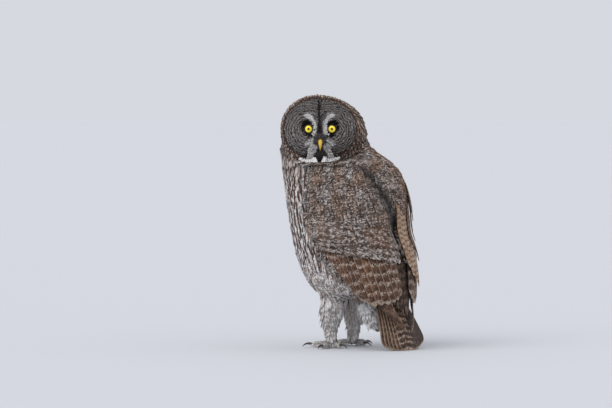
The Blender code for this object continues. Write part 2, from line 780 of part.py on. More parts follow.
rooms = []
for side, word in ((-1, "right"), (1, "left")):
    centre = (EYE_X * side, EYE_FORWARD, 0.0)
    rooms.append(ball("room", centre, EYE_RADIUS + GAP))
    eye = ball("eye_" + word, centre, EYE_RADIUS)
    paint(eye, (0.80, 0.55, 0.05))
rooms.append(horn("room", BILL_UPPER, GAP))
rooms.append(horn("room", BILL_LOWER, GAP))
for room in rooms:
    combine(face, [room], "DIFFERENCE")
paint(face, pale_grey)
upper = horn("bill_upper", BILL_UPPER)
lower = horn("bill_lower", BILL_LOWER)
combine(lower, [horn("room", BILL_UPPER, GAP)], "DIFFERENCE")
nostrils = [ball("nostril", (0.0063 * side, 0.0640, -0.0160), 0.0014, 6, 10) for side in (1, -1)]
combine(upper, nostrils, "DIFFERENCE")
paint(upper, (0.70, 0.52, 0.12))
paint(lower, (0.60, 0.44, 0.12))

for side, word in ((1, "left"), (-1, "right")):
    paint(wing("wing_" + word, side), feather_brown)

rear = tail("tail")
combine(rear, [trunk("room", TRUNK_BOTTOM - 0.02, 0.30, 14, GAP)], "DIFFERENCE")
combine(rear, [box("floor", (-0.3, -0.3, -0.1), (0.3, 0.5, 0.0))], "DIFFERENCE")
paint(rear, feather_brown)

for side, word in ((1, "left"), (-1, "right")):
    paint(leg("leg_" + word, side), pale_grey)
    paint(foot("foot_" + word, side), pale_grey)
    for index, (heading, length, reach) in enumerate(TOES):
        claw = talon("talon_%s_%d" % (word, index + 1), side, heading, length, reach)
        paint(claw, (0.015, 0.014, 0.013))


things = list(bpy.data.objects)
corners = [thing.matrix_world @ vertex.co for thing in things for vertex in thing.data.vertices]
low = [min(corner[i] for corner in corners) for i in range(3)]
high = [max(corner[i] for corner in corners) for i in range(3)]
origin = Vector(((low[0] + high[0]) / 2, (low[1] + high[1]) / 2, low[2]))
for thing in things:
    thing.data.transform(Matrix.Translation(-origin))
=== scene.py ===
"""Looks of the great grey owl: skin, feathers, eyes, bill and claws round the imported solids."""
import itertools
import math

import bmesh
import bpy
import numpy as np
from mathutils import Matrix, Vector
from mathutils.bvhtree import BVHTree


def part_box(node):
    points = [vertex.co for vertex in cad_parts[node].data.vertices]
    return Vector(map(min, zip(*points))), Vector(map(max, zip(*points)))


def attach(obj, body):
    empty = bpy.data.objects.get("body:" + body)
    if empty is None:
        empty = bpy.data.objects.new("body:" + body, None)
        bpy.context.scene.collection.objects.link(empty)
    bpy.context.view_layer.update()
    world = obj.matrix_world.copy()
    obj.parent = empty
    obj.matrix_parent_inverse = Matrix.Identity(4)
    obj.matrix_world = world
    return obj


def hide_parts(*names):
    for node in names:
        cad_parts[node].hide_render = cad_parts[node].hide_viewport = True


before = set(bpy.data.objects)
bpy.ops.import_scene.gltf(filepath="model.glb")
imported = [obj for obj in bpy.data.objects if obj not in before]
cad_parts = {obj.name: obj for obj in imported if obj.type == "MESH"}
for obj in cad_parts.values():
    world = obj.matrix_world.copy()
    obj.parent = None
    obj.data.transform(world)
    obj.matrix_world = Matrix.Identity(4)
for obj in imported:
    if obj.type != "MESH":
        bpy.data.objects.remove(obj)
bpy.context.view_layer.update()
scene = bpy.context.scene

# View, floor and light
# The bird is seen from behind its left side by a long lens at about the height of its head.
# It stands on a plain pale floor in the soft light of an overcast day. Lengths are in metres.
VIEW_AZIMUTH = math.radians(128)
VIEW_ELEVATION = math.radians(2)
VIEW_DISTANCE = 8.0
SENSOR = 36
VIEW_WIDTH = 1.377
VIEW_SIDEWAYS = -0.0765
VIEW_HEIGHT = 0.32175
FLOOR_RADIUS = 40
FLOOR_GREY, FLOOR_PALE, SKY = "C7C8CC", "CBCCCF", "D6D9E0"
LAMPS = (("key", 80, 50, 50, 1.5), ("fill", 190, 35, 90, 0.5))

AHEAD = np.array([math.sin(VIEW_AZIMUTH), -math.cos(VIEW_AZIMUTH), 0.0])
LEFT = np.array([math.cos(VIEW_AZIMUTH), math.sin(VIEW_AZIMUTH), 0.0])
UP = np.array([0.0, 0.0, 1.0])


def middle_of(node):
    """Middle of a node of the frame."""
    lowest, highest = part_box(node)
    return np.array((lowest + highest) / 2)


# The head faces the camera. Its origin lies between the eyes and a little behind them, and
# the rest of the bird is measured from a point under the middle of the breast.
EYE_FORWARD = 0.038
HEAD = (middle_of("eye_left") + middle_of("eye_right")) / 2 - EYE_FORWARD * AHEAD
SHIFT = HEAD - np.array([0.024, -0.038, 0.491])


def shade(code):
    """Linear colour of an sRGB hex code."""
    parts = np.array([int(code[i:i + 2], 16) / 255 for i in (0, 2, 4)])
    return np.where(parts <= 0.04045, parts / 12.92, ((parts + 0.055) / 1.055) ** 2.4)


def add(tree, kind, inputs=(), **settings):
    """Add a node with its settings, set or link its inputs, and return its first output.

    Object coordinates are metres, so the scale of a noise is a count to the metre.
    """
    made = tree.nodes.new("ShaderNode" + kind)
    for setting, value in settings.items():
        setattr(made, setting, value)
    pairs = inputs.items() if isinstance(inputs, dict) else enumerate(inputs)
    for socket, value in pairs:
        if isinstance(value, bpy.types.NodeSocket):
            tree.links.new(value, made.inputs[socket])
        else:
            colour = isinstance(value, np.ndarray)
            made.inputs[socket].default_value = (*value, 1) if colour else value
    return made.outputs[0]


def finish_of(name, roughness, **constants):
    """A new material, its node tree and its shader with the constant sockets set."""
    made = bpy.data.materials.new(name)
    made.use_nodes = True
    shader = made.node_tree.nodes["Principled BSDF"]
    shader.inputs["Roughness"].default_value = roughness
    for socket, value in constants.items():
        shader.inputs[socket.replace("_", " ")].default_value = value
    return made, made.node_tree, shader


back = AHEAD * math.cos(VIEW_ELEVATION) + UP * math.sin(VIEW_ELEVATION)
target = LEFT * VIEW_SIDEWAYS + SHIFT * np.array([1, 1, 0]) + UP * VIEW_HEIGHT
camera = bpy.data.objects.new("camera", bpy.data.cameras.new("camera"))
camera.data.sensor_width = SENSOR
camera.data.lens = SENSOR * VIEW_DISTANCE / VIEW_WIDTH
camera.data.clip_end = 100
camera.location = Vector(target + back * VIEW_DISTANCE)
camera.rotation_euler = Vector(back).to_track_quat("Z", "Y").to_euler()
scene.collection.objects.link(camera)
scene.camera = camera

bpy.ops.object.select_all(action="DESELECT")
bpy.ops.mesh.primitive_circle_add(vertices=96, radius=FLOOR_RADIUS, fill_type="NGON")
floor = bpy.context.object
floor.name = "floor"
# Rolled studio paint: matt, its tone wandering a little over a metre or so.
floor_finish, tree, shader = finish_of("painted studio floor", 0.85)
dapple = add(tree, "TexNoise", {"Scale": 0.6, "Detail": 2.0})
floor_colour = add(tree, "MixRGB", (dapple, shade(FLOOR_GREY), shade(FLOOR_PALE)))
tree.links.new(floor_colour, shader.inputs["Base Color"])
floor.data.materials.append(floor_finish)

world = bpy.data.worlds.new("studio")
world.use_nodes = True
world.node_tree.nodes["Background"].inputs["Color"].default_value = (*shade(SKY), 1)
world.node_tree.nodes["Background"].inputs["Strength"].default_value = 1.0
scene.world = world
for name, azimuth, elevation, spread, power in LAMPS:
    lamp = bpy.data.objects.new(name, bpy.data.lights.new(name, "SUN"))
    a, e = math.radians(azimuth), math.radians(elevation)
    way = Vector((math.sin(a) * math.cos(e), -math.cos(a) * math.cos(e), math.sin(e)))
    lamp.location = way * 3
    lamp.rotation_euler = way.to_track_quat("Z", "Y").to_euler()
    lamp.data.angle = math.radians(spread)
    lamp.data.energy = power
    scene.collection.objects.link(lamp)
scene.view_settings.view_transform = "Standard"

# Skin
# The bird's body under its feathers: trunk, neck, head, wings, thighs and the roots of the
# tail as one soft form, so that no seam shows between them. It lies inside the solids by
# the depth of the coat, and carries the coat's colours where a gap lets it show, darkened as
# painted shade of the gaps between feathers.
ROUNDNESS = 2.2
COAT_DEPTH = 0.0045
SIDES = ((1, "left"), (-1, "right"))
# Stations of the trunk: height, centre from front to back, half width, depth in front and
# behind. Those of the wings: height, centre, half width and depth.
TRUNK = [
    (0.112, 0.058, 0.060, 0.080, 0.030), (0.125, 0.058, 0.080, 0.105, 0.048),
    (0.150, 0.056, 0.097, 0.128, 0.068), (0.200, 0.044, 0.108, 0.142, 0.100),
    (0.240, 0.035, 0.114, 0.144, 0.118), (0.280, 0.028, 0.117, 0.144, 0.126),
    (0.320, 0.024, 0.119, 0.148, 0.132), (0.360, 0.016, 0.117, 0.146, 0.134),
    (0.385, 0.009, 0.113, 0.146, 0.138), (0.400, 0.004, 0.107, 0.146, 0.140),
    (0.420, -0.013, 0.098, 0.131, 0.133), (0.440, -0.034, 0.092, 0.107, 0.124),
    (0.450, -0.041, 0.088, 0.100, 0.116), (0.459, -0.044, 0.072, 0.080, 0.088),
]
WING_SHAPE = [
    (0.030, 0.080, 0.075, 0.125), (0.060, 0.078, 0.085, 0.125), (0.100, 0.072, 0.097, 0.123),
    (0.120, 0.070, 0.105, 0.126), (0.160, 0.058, 0.119, 0.135), (0.215, 0.043, 0.128, 0.140),
    (0.260, 0.031, 0.129, 0.137), (0.320, 0.024, 0.128, 0.142), (0.360, 0.016, 0.126, 0.143),
    (0.385, 0.009, 0.119, 0.142), (0.405, 0.000, 0.107, 0.143), (0.415, -0.008, 0.100, 0.138),
]
# Edges of the folded wings: height, and degrees round from the back. 1 is left, -1 right.
WING_SPAN = (0.2, 0.405)
WING_REAR = {
    1: [(0.12, 9), (0.20, 5), (0.25, 3), (0.30, 6), (0.36, 20), (0.405, 32)],
    -1: [(0.12, 4), (0.20, 4), (0.25, 2), (0.30, -1), (0.36, -14), (0.405, -25)],
}
WING_FRONT = [(0.20, 88), (0.232, 100), (0.25, 108), (0.30, 110), (0.36, 107), (0.405, 98)]
# Outlines of the head by quarters, from its left upwards: half width, height, squareness.
SKULL = ((0.105, 0.078, 1.85), (0.0915, 0.078, 2.15), (0.0915, 0.076, 2.9), (0.110, 0.076, 2.6))
DISC = ((0.078, 0.066, 2.15), (0.078, 0.068, 2.15), (0.078, 0.063, 2.3), (0.078, 0.063, 2.3))
# Shape of the head behind the face: share of the outline, and how far forward.
HEAD_BACK = [(0.94, 0.028), (0.99, 0.010), (1.0, -0.010), (0.95, -0.034), (0.84, -0.054),
             (0.66, -0.070), (0.38, -0.081)]
BEHIND_HEAD = 0.3
TAIL_ROOT = np.array((0.0, 0.1295, 0.150))
TAIL_TIP = np.array((-0.010, 0.190, -0.006))
LEG_X, LEG_Y = 0.042, 0.005
SKIN_CELL = 0.0032
SKIN_SOFTENINGS = 4
FLOOR_GAP = 0.0006


def along(stations, at):
    """Values of a station table at one key or many, on the solids' smooth curve."""
    table = np.array(stations, float)
    keys, columns = table[:, 0], table[:, 1:]
    at = np.asarray(at, float)
    last = len(keys) - 1
    low = np.maximum(np.arange(last + 1) - 1, 0)
    high = np.minimum(np.arange(last + 1) + 1, last)
    slopes = (columns[high] - columns[low]) / (keys[high] - keys[low])[:, None]
    i = np.clip(np.searchsorted(keys, at, side="right") - 1, 0, last - 1)
    width = (keys[i + 1] - keys[i])[..., None]
    s = (at - keys[i])[..., None] / width
    t = np.clip(s, 0, 1)
    rise_a, rise_b = slopes[i] * width, slopes[i + 1] * width
    value = (columns[i] * (2 * t**3 - 3 * t**2 + 1) + columns[i + 1] * (3 * t**2 - 2 * t**3)
             + rise_a * (t**3 - 2 * t**2 + t) + rise_b * (t**3 - t**2))
    value = value + rise_a * np.minimum(s, 0) + rise_b * np.maximum(s - 1, 0)
    return value[..., 0] if value.shape[-1] == 1 else np.moveaxis(value, -1, 0)


def wing_edges(side, z):
    """Angles of the rear and front edges of a folded wing at heights."""
    level = np.clip(z, *WING_SPAN)
    return along(WING_REAR[side], level), along(WING_FRONT, level)


def blend(low, high, at):
    """Smooth step from 0 at low to 1 at high."""
    s = np.clip((np.asarray(at, float) - low) / (high - low), 0.0, 1.0)
    return s * s * (3 - 2 * s)


def unit(vectors):
    """Vectors of length one."""
    return vectors / np.maximum(np.linalg.norm(vectors, axis=-1, keepdims=True), 1e-9)


def laid_flat(lie, out):
    """Directions turned to lie flat on a surface that faces out."""
    return unit(lie - out * (lie * out).sum(-1, keepdims=True))


def height_of(points):
    """Height of points over the floor under the feet."""
    return points[:, 2] - SHIFT[2]


def ring_radius(turn, half_width, front, rear):
    """Distance from a ring's centre to its rim, the angle counted from the back."""
    depth = np.where(np.cos(turn) > 0, rear, front)
    return ((np.abs(np.sin(turn)) / half_width) ** ROUNDNESS
            + (np.abs(np.cos(turn)) / depth) ** ROUNDNESS) ** (-1 / ROUNDNESS)


def wing_point(side, angle, z, lift):
    """Point off the outside of a folded wing by lift; side is 1 for left and -1 for right."""
    centre, half_width, depth = along(WING_SHAPE, z)
    turn = np.radians(angle)
    radius = ring_radius(turn, half_width, depth, depth) + lift
    place = np.stack([side * radius * np.sin(turn), centre + radius * np.cos(turn), z], -1)
    return place + SHIFT


def wing_place(points):
    """Angle from the back about the wings' centre line, and height, of points."""
    places = points - SHIFT
    heights = np.clip(places[..., 2], WING_SHAPE[0][0], WING_SHAPE[-1][0])
    centre = along(WING_SHAPE, heights)[0]
    return np.degrees(np.arctan2(places[..., 0], places[..., 1] - centre)), places[..., 2]


def trunk_point(turn, z, grow):
    """Point of the trunk, drawn in under the hanging feathers of the wings."""
    turn, z = np.broadcast_arrays(np.asarray(turn, float), np.asarray(z, float))
    centre, half_width, front, rear = along(TRUNK, z)
    radius = ring_radius(turn, half_width, front, rear)
    x, y = radius * np.sin(turn), centre + radius * np.cos(turn)
    wing_centre, wing_half, wing_depth = along(WING_SHAPE, np.minimum(z, 0.41))
    angle = np.abs(np.arctan2(x, y - wing_centre))
    room = 0.0195 - 0.0080 * blend(0.252, 0.285, z) - 0.0020 * blend(0.37, 0.40, z)
    edge = wing_edges(1, z)[1]
    fade = blend(0, 12, np.degrees(angle) - edge - 5)
    limit = ring_radius(angle, wing_half, wing_depth, wing_depth) - room
    reach = np.hypot(x, y - wing_centre)
    drawn = (limit + (reach - limit) * fade) / reach
    drawn = np.where((z < 0.406) & (reach > limit), drawn, 1.0)
    x = x * drawn + grow * np.sin(turn) + 0.012 * blend(0.405, 0.455, z)
    y = wing_centre + (y - wing_centre) * drawn + grow * np.cos(turn)
    return np.stack([x, y, z], -1) + SHIFT


def outline(theta, quarters):
    """Radius of an outline of the head, the angle counted from its left."""
    width, height, squareness = np.array(quarters)[
        (np.floor(np.mod(theta, 2 * np.pi) / (np.pi / 2)).astype(int)) % 4].T
    return ((np.abs(np.cos(theta)) / width.T) ** squareness.T
            + (np.abs(np.sin(theta)) / height.T) ** squareness.T) ** (-1 / squareness.T)


def head_point(x, forward, up):
    """Point given in the head's frame: to its left, forward and up."""
    x, forward, up = np.broadcast_arrays(x, forward, up)
    return HEAD + x[..., None] * LEFT + forward[..., None] * AHEAD + up[..., None] * UP


def head_place(points):
    """A point's place in the head's frame."""
    away = points - HEAD
    return away @ LEFT, away @ AHEAD, away @ UP


def face_depth(x, up):
    """How far forward the face reaches at a point."""
    ring = np.hypot(x, up) / outline(np.arctan2(up, x), DISC)
    depth = 0.057 - 0.019 * np.minimum(ring, 1.2) ** 2.4
    depth = depth - 0.010 * np.exp(-((np.abs(x) - 0.028) ** 2 + up**2) / (2 * 0.019**2))
    crest = blend(-0.055, -0.02, up) * blend(-0.075, -0.03, -up)
    return depth + 0.007 * np.exp(-((x / 0.008) ** 2)) * crest


def face_outwards(mesh):
    """Turn all faces of a closed mesh outwards."""
    shell = bmesh.new()
    shell.from_mesh(mesh)
    bmesh.ops.recalc_face_normals(shell, faces=shell.faces)
    shell.to_mesh(mesh)
    shell.free()


def loft(name, rings):
    """Closed solid through rings of points."""
    rings = np.asarray(rings)
    levels, count = rings.shape[:2]
    points = np.concatenate([rings.reshape(-1, 3), rings[[0, -1]].mean(1)])
    around = np.arange(count)
    after = (around + 1) % count
    faces = []
    for level in range(levels - 1):
        low, high = level * count, (level + 1) * count
        faces += np.stack([low + around, low + after, high + after, high + around], -1).tolist()
    for level, middle in ((0, levels * count), (levels - 1, levels * count + 1)):
        low = level * count
        faces += [(low + i, low + j, middle) for i, j in zip(around.tolist(), after.tolist())]
    mesh = bpy.data.meshes.new(name)
    mesh.from_pydata(points.tolist(), [], faces)
    face_outwards(mesh)
    made = bpy.data.objects.new(name, mesh)
    scene.collection.objects.link(made)
    return made


def carve(made, tool):
    """Cut the form of a tool out of a piece."""
    cut = made.modifiers.new("cut", "BOOLEAN")
    cut.operation = "DIFFERENCE"
    cut.solver = "EXACT"
    cut.object = tool
    bpy.context.view_layer.objects.active = made
    bpy.ops.object.modifier_apply(modifier="cut")
    bpy.data.objects.remove(tool)


def circle(count):
    """Angles spread evenly round a ring."""
    return np.linspace(0, 2 * np.pi, count + 1)[:-1]


turns = circle(72)
oval = circle(32)


def upright(name, stations, x=0.0):
    """Form of level oval rings: height, place from front to back, half width, half depth."""
    return loft(name, [np.stack([x + half * np.cos(oval), y + depth * np.sin(oval),
                                 np.full(len(oval), z)], -1) + SHIFT
                       for z, y, half, depth in stations])


forms = [loft("trunk", [trunk_point(turns, z, -COAT_DEPTH)
                        for z in np.linspace(0.124, 0.455, 40)])]
# A wing's form is sunk by the depth of its feathers, rounded at its edges and lower end.
WING_STEPS, WING_SUNK, WING_INNER, WING_ROUND = 24, 0.0072, 0.034, 0.008
for side, _ in SIDES:
    shape = []
    for z in np.linspace(0.222, 0.402, WING_STEPS):
        rear, front = wing_edges(side, z)
        rear, front = rear + 2, front - 4
        across = np.linspace(0, 1, WING_STEPS)
        edge = np.minimum(np.minimum(across, 1 - across) / 0.12, 1)
        low = min((z - 0.21) / 0.04, 1)
        outer = -WING_SUNK - WING_ROUND * (1 - edge) ** 2 - WING_ROUND * (1 - low) ** 2
        angles = rear + (front - rear) * across
        level = np.full(WING_STEPS, z)
        shape.append(np.concatenate([wing_point(side, angles, level, outer),
                                     wing_point(side, angles[::-1], level, -WING_INNER)]))
    forms.append(loft("wing", shape))
FACE_RINGS = 16
face_rings = []
room_rings = []
for forward in (0.16, 0.10, 0.06, 0.03):
    radius = outline(turns, SKULL)
    room_rings.append(head_point(radius * np.cos(turns), forward, radius * np.sin(turns)))
for ring in np.linspace(0.03, 1.0, FACE_RINGS):
    radius = outline(turns, DISC) * ring * 0.97
    x, up = radius * np.cos(turns), radius * np.sin(turns)
    face_rings.append(head_point(x, face_depth(x, up) - 0.004, up))
for scale, forward in HEAD_BACK:
    radius = outline(turns, SKULL) * scale - COAT_DEPTH
    face_rings.append(head_point(radius * np.cos(turns), forward + 0.003, radius * np.sin(turns)))
carve(forms[0], loft("head room", room_rings + face_rings[FACE_RINGS:]))
forms.append(loft("head", face_rings))
forms.append(upright("vent", [(0.135, 0.070, 0.030, 0.018), (0.090, 0.085, 0.026, 0.018),
                              (0.065, 0.096, 0.019, 0.014), (0.045, 0.104, 0.010, 0.008),
                              (0.038, 0.107, 0.004, 0.004)]))
forms.append(upright("tail root", [(0.200, 0.114, 0.018, 0.010), (0.165, 0.126, 0.036, 0.019),
                                   (0.140, 0.133, 0.034, 0.015), (0.116, 0.141, 0.022, 0.008)]))
# Stations of a leg: height, place from front to back, and radius.
LEG = [(0.140, 0.012, 0.026), (0.095, 0.008, 0.021), (0.070, 0.006, 0.017),
       (0.050, 0.005, 0.014), (0.030, 0.005, 0.0115), (0.012, 0.005, 0.011)]
for side, _ in SIDES:
    forms.append(upright("leg", [(z, y, radius, radius) for z, y, radius in LEG], side * LEG_X))
# The nape fills the hollow between the head and the shoulder on the side that is seen. Its
# stations are heights in the head's frame and how far out the coat reaches there.
NAPE = [(0.010, 0.099), (0.0015, 0.103), (-0.020, 0.110), (-0.041, 0.1195), (-0.0525, 0.127),
        (-0.064, 0.139), (-0.074, 0.150)]
NAPE_COAT, NAPE_HALF, NAPE_DEPTH = 0.007, 0.028, 0.042
forms.append(loft("nape", [head_point(contour - NAPE_COAT - NAPE_HALF + NAPE_HALF * np.cos(oval),
                                      -0.030 - 0.3 * (0.010 - up) + NAPE_DEPTH * np.sin(oval),
                                      np.full(len(oval), up)) for up, contour in NAPE]))
# Toes: heading in degrees, length of the toe and length of the claw.
TOES = [(-16, 0.036, 0.024), (14, 0.040, 0.025), (100, 0.034, 0.022), (176, 0.024, 0.022)]


def toe_way(side, heading):
    """Direction of a toe on the floor."""
    turn = math.radians(heading)
    return np.array([side * math.sin(turn), -math.cos(turn), 0.0])


def limb(name, path, radii, count=24):
    """Round limb along a path."""
    path = np.asarray(path, float)
    heading = unit(np.gradient(path, axis=0))
    across = unit(np.cross(heading, np.where(np.abs(heading[:, 2:]) < 0.8, UP, AHEAD)))
    upward = np.cross(across, heading)
    spin = circle(count)
    radii = np.asarray(radii)[:, None, None]
    return loft(name, path[:, None] + radii * (across[:, None] * np.cos(spin)[:, None]
                                               + upward[:, None] * np.sin(spin)[:, None]))


# Stations of a toe: share of its length, height and radius.
ANKLE_REACH = 0.004
TOE_PROFILE = [(0.0, 0.0105, 0.0068), (0.3, 0.0090, 0.0066), (0.6, 0.0082, 0.0068),
               (0.85, 0.0074, 0.0064), (1.0, 0.0070, 0.0045)]
for side, _ in SIDES:
    ankle = np.array([side * LEG_X, LEG_Y, 0.0]) + SHIFT
    for heading, reach, _ in TOES:
        ahead = toe_way(side, heading)
        path = [ankle + ahead * (ANKLE_REACH + reach * part) + UP * height
                for part, height, _ in TOE_PROFILE]
        forms.append(limb("toe", path, [radius for _, _, radius in TOE_PROFILE]))
bpy.ops.object.select_all(action="DESELECT")
for form in forms:
    form.select_set(True)
skin = forms[0]
bpy.context.view_layer.objects.active = skin
bpy.ops.object.join()
skin.name = "skin"
remesh = skin.modifiers.new("one form", "REMESH")
remesh.mode = "VOXEL"
remesh.voxel_size = SKIN_CELL
bpy.ops.object.modifier_apply(modifier="one form")
soften = skin.modifiers.new("soften", "SMOOTH")
soften.iterations = SKIN_SOFTENINGS
bpy.ops.object.modifier_apply(modifier="soften")
skin.data.materials.clear()


def near_head(points):
    """How far out a point is from the head's middle, 1 being its surface."""
    x, forward, up = head_place(points)
    depth = np.array(HEAD_BACK)
    scale = np.interp(-forward, -depth[:, 1], depth[:, 0], right=BEHIND_HEAD)
    return np.hypot(x, up) / (outline(np.arctan2(up, x), SKULL) * scale)


# Colours of the coat
# Grey-brown above, paler and streaked below, whitish on belly and legs. Each feather has a
# ground colour and dark markings: a streak down its shaft and fine wavy bars across it.
GREY, PALE_GREY = shade("9A8F89"), shade("C9C3BF")
WARM_GREY, FAWN = shade("947B68"), shade("B59C88")
TAWNY, RUFOUS = shade("AA8769"), shade("855C43")
DARK_BROWN, BROWN = shade("2C1E17"), shade("573E30")
BREAST_PALE, BREAST_WHITE, BREAST_BROWN = shade("D8D2CE"), shade("F1EEEC"), shade("5B4234")
BELLY_WHITE, BELLY_BROWN = shade("E2DEDC"), shade("7E6557")
# The groove's colours: dark brown feathers, darkened further as painted shade of the fold behind the
# left wing.
GROOVE_SHADED_BROWN, GROOVE_SHADED_BLACK = shade("1E140F"), shade("140E0B")
BACK_TONE, SKIN_PAINTED_SHADE = 0.86, 0.55
PATCH_SIZE = 0.045


def mix(a, b, share):
    """Colour between two colours, for each feather."""
    share = np.asarray(share, float)[..., None]
    return a * (1 - share) + b * share


def wander(points, scale, seed):
    """Smooth random field, about -1 to 1, of a few crossed waves."""
    draw = np.random.default_rng(seed)
    total = np.zeros(points.shape[:-1])
    for _ in range(7):
        way = unit(draw.normal(size=3)) * 2 * np.pi / scale * draw.uniform(0.6, 1.6)
        total += np.sin(points @ way + draw.uniform(0, 6.28))
    return total / 3.2


def groove(points):
    """Depth into the groove behind the left wing's rear edge, from 0 to 1; its dark brown is partly
    painted shade.
    """
    angle, z = wing_place(points)
    across = (angle - wing_edges(1, z)[0] + 5) / 7.5
    return np.exp(-(across**2)) * blend(0.435, 0.410, z) * blend(0.17, 0.22, z)


def body_look(points, draw):
    """Ground, marking, streak width, bar strength and number of the feathers at points."""
    angle, z = wing_place(points)
    n = len(points)
    breast = blend(-4, 10, np.abs(angle) - wing_edges(1, z)[1]) * blend(0.462, 0.440, z)
    number = draw.uniform(0, 1, n)
    patch = wander(points, PATCH_SIZE, 3)
    ground = mix(mix(GREY, PALE_GREY, draw.uniform(0, 0.6, n)), WARM_GREY,
                 np.clip(0.50 + 0.5 * patch, 0, 1.0))
    ground = ground * BACK_TONE
    marking = mix(DARK_BROWN, BROWN, np.clip(0.35 + 0.5 * patch + draw.uniform(-.3, .3, n), 0, 1))
    right_back = blend(10, -25, angle) * (1 - breast)
    ground = mix(ground, mix(TAWNY, RUFOUS, draw.uniform(0, 1, n)), 0.75 * right_back)
    streak = draw.uniform(0.0, 0.16, n)
    bars = draw.uniform(0.7, 1.0, n)
    pale = blend(0.43, 0.38, z)
    ground = mix(ground, mix(BREAST_PALE, BREAST_WHITE, draw.uniform(0, 1, n)),
                 breast * (0.35 + 0.65 * pale))
    marking = mix(marking, BREAST_BROWN, breast * 0.7)
    streak = np.where(breast > 0.5, draw.uniform(0.24, 0.40, n), streak)
    bars = np.where(breast > 0.5, draw.uniform(0.15, 0.5, n), bars)
    belly = blend(0.240, 0.185, z) * np.maximum(breast, blend(0.2, 0.15, z))
    ground = mix(ground, BELLY_WHITE, belly)
    marking = mix(marking, BELLY_BROWN, belly * 0.8)
    bars = bars * (1 - belly) + draw.uniform(0.5, 0.8, n) * belly
    streak = streak * (1 - 0.75 * belly)
    # Painted shade, partly: the groove's feathers are made darker than their own brown.
    dark = groove(points)
    ground = mix(ground, GROOVE_SHADED_BROWN, dark)
    marking = mix(marking, GROOVE_SHADED_BLACK, dark)
    bars = bars * (1 - 0.85 * dark)
    return dict(ground=ground, marking=marking, streak=streak, bars=bars, number=number)


def head_look(points, draw):
    """The same for the crown, the nape and the sides of the head."""
    n = len(points)
    _, _, up = head_place(points)
    number = draw.uniform(0, 1, n)
    ground = mix(mix(WARM_GREY, FAWN, draw.uniform(0, 1, n)), GREY,
                 np.clip(blend(0.03, -0.03, up) * 0.7 + draw.uniform(-.2, .3, n), 0, 1))
    marking = mix(BROWN, DARK_BROWN, draw.uniform(0, 1, n))
    return dict(ground=ground, marking=marking, streak=draw.uniform(0.3, 0.55, n),
                bars=draw.uniform(0.3, 0.9, n), number=number)


def paint_points(mesh, name, values):
    """Store a colour for each point of a mesh."""
    layer = mesh.attributes.new(name, "FLOAT_COLOR", "POINT")
    if values.shape[1] == 3:
        values = np.concatenate([values, np.ones((len(values), 1))], 1)
    layer.data.foreach_set("color", values.astype(np.float32).ravel())


UV_MARGIN, UV_SHARE, UV_HEIGHT, UV_AXIS = 0.02, 0.96, 0.6, 0.03


def unwrap(points):
    """Place of points on an unwrap of the body: round it and up it."""
    places = points - SHIFT
    turn = np.arctan2(places[:, 0], places[:, 1] - UV_AXIS) / (2 * np.pi) + 0.5
    return np.stack([UV_MARGIN + UV_SHARE * turn,
                     UV_MARGIN + UV_SHARE * places[:, 2] / UV_HEIGHT], -1)


def read_all(items, name, width, kind=float):
    """One property of all items of a mesh, as rows of an array."""
    values = np.zeros(len(items) * width, kind)
    items.foreach_get(name, values)
    return values.reshape(-1, width)


def smooth(made):
    """Shade all faces of a piece smooth."""
    made.data.polygons.foreach_set("use_smooth", np.ones(len(made.data.polygons), bool))


skin_points = read_all(skin.data.vertices, "co", 3)
skin_points[:, 2] = np.maximum(skin_points[:, 2], FLOOR_GAP)
skin.data.vertices.foreach_set("co", skin_points.ravel())
skin.data.update()
bare = body_look(skin_points, np.random.default_rng(5))
crown = head_look(skin_points, np.random.default_rng(6))
on_head = near_head(skin_points) < 1.03
# Painted shade: the skin takes the coat's colour darkened, so that gaps between feathers read as
# shaded.
tone = np.where(on_head[:, None], crown["ground"], bare["ground"]) * SKIN_PAINTED_SHADE
paint_points(skin.data, "ground", tone)

# Downy skin: dull and dark, in the tone of the feathers over it but darker as painted shade
# of the gaps between them, roughened by down. The down is drawn about 4 mm across.
skin_finish, tree, shader = finish_of("downy skin", 0.95)
ground = add(tree, "Attribute", attribute_name="ground")
down = add(tree, "TexNoise", {"Scale": 260.0, "Detail": 3.0})
colour = add(tree, "MixRGB", (down, ground, (0.05, 0.04, 0.035, 1)))
tree.links.new(colour, shader.inputs["Base Color"])
bump = add(tree, "Bump", {"Height": down, "Strength": 0.4, "Distance": 0.001})
tree.links.new(bump, shader.inputs["Normal"])
skin.data.materials.append(skin_finish)
bake = skin.data.uv_layers.new(name="OFBake")
loops = read_all(skin.data.loops, "vertex_index", 1, int)[:, 0]
bake.data.foreach_set("uv", unwrap(skin_points)[loops].astype(np.float32).ravel())
smooth(skin)
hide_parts("torso", "neck", "head", "vent", "leg_left", "leg_right", "foot_left",
            "foot_right")
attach(skin, "root")

# Soft feathers
# Small body feathers: soft vanes whose barbs part into a few bundles, rooted in the skin
# and lying over one another along the body. Each bundle is a thin closed strip.

# A strip has rows of three points, the middle one raised, and one point at its tip.
STRIP_ROWS = np.array([0.0, 0.42, 0.78])
STRIP_THICKNESS = 0.0004
STRIP_POINTS = 10
STRIP_TAPER = np.array([0.9, 1.0, 0.8])
STRIP_RIDGE = np.array([0, 1, 0, 0, 1, 0, 0, 1, 0, 0.0])
ROW_OF_POINT = [0, 0, 0, 1, 1, 1, 2, 2, 2, 3]
STRIP_QUADS = [(0, 1, 4, 3), (1, 2, 5, 4), (2, 0, 3, 5), (3, 4, 7, 6), (4, 5, 8, 7), (5, 3, 6, 8)]
STRIP_TRIS = [(6, 7, 9), (7, 8, 9), (8, 6, 9), (2, 1, 0)]
VANE_WIDTHS = ([0, 0.35, 0.7, 1.0, 1.2], [0.45, 0.9, 1.0, 0.92, 0.8])
STRAY, LENGTHS, WIDTHS, RISES = 0.10, (0.85, 1.15), (0.9, 1.1), (0.75, 1.25)
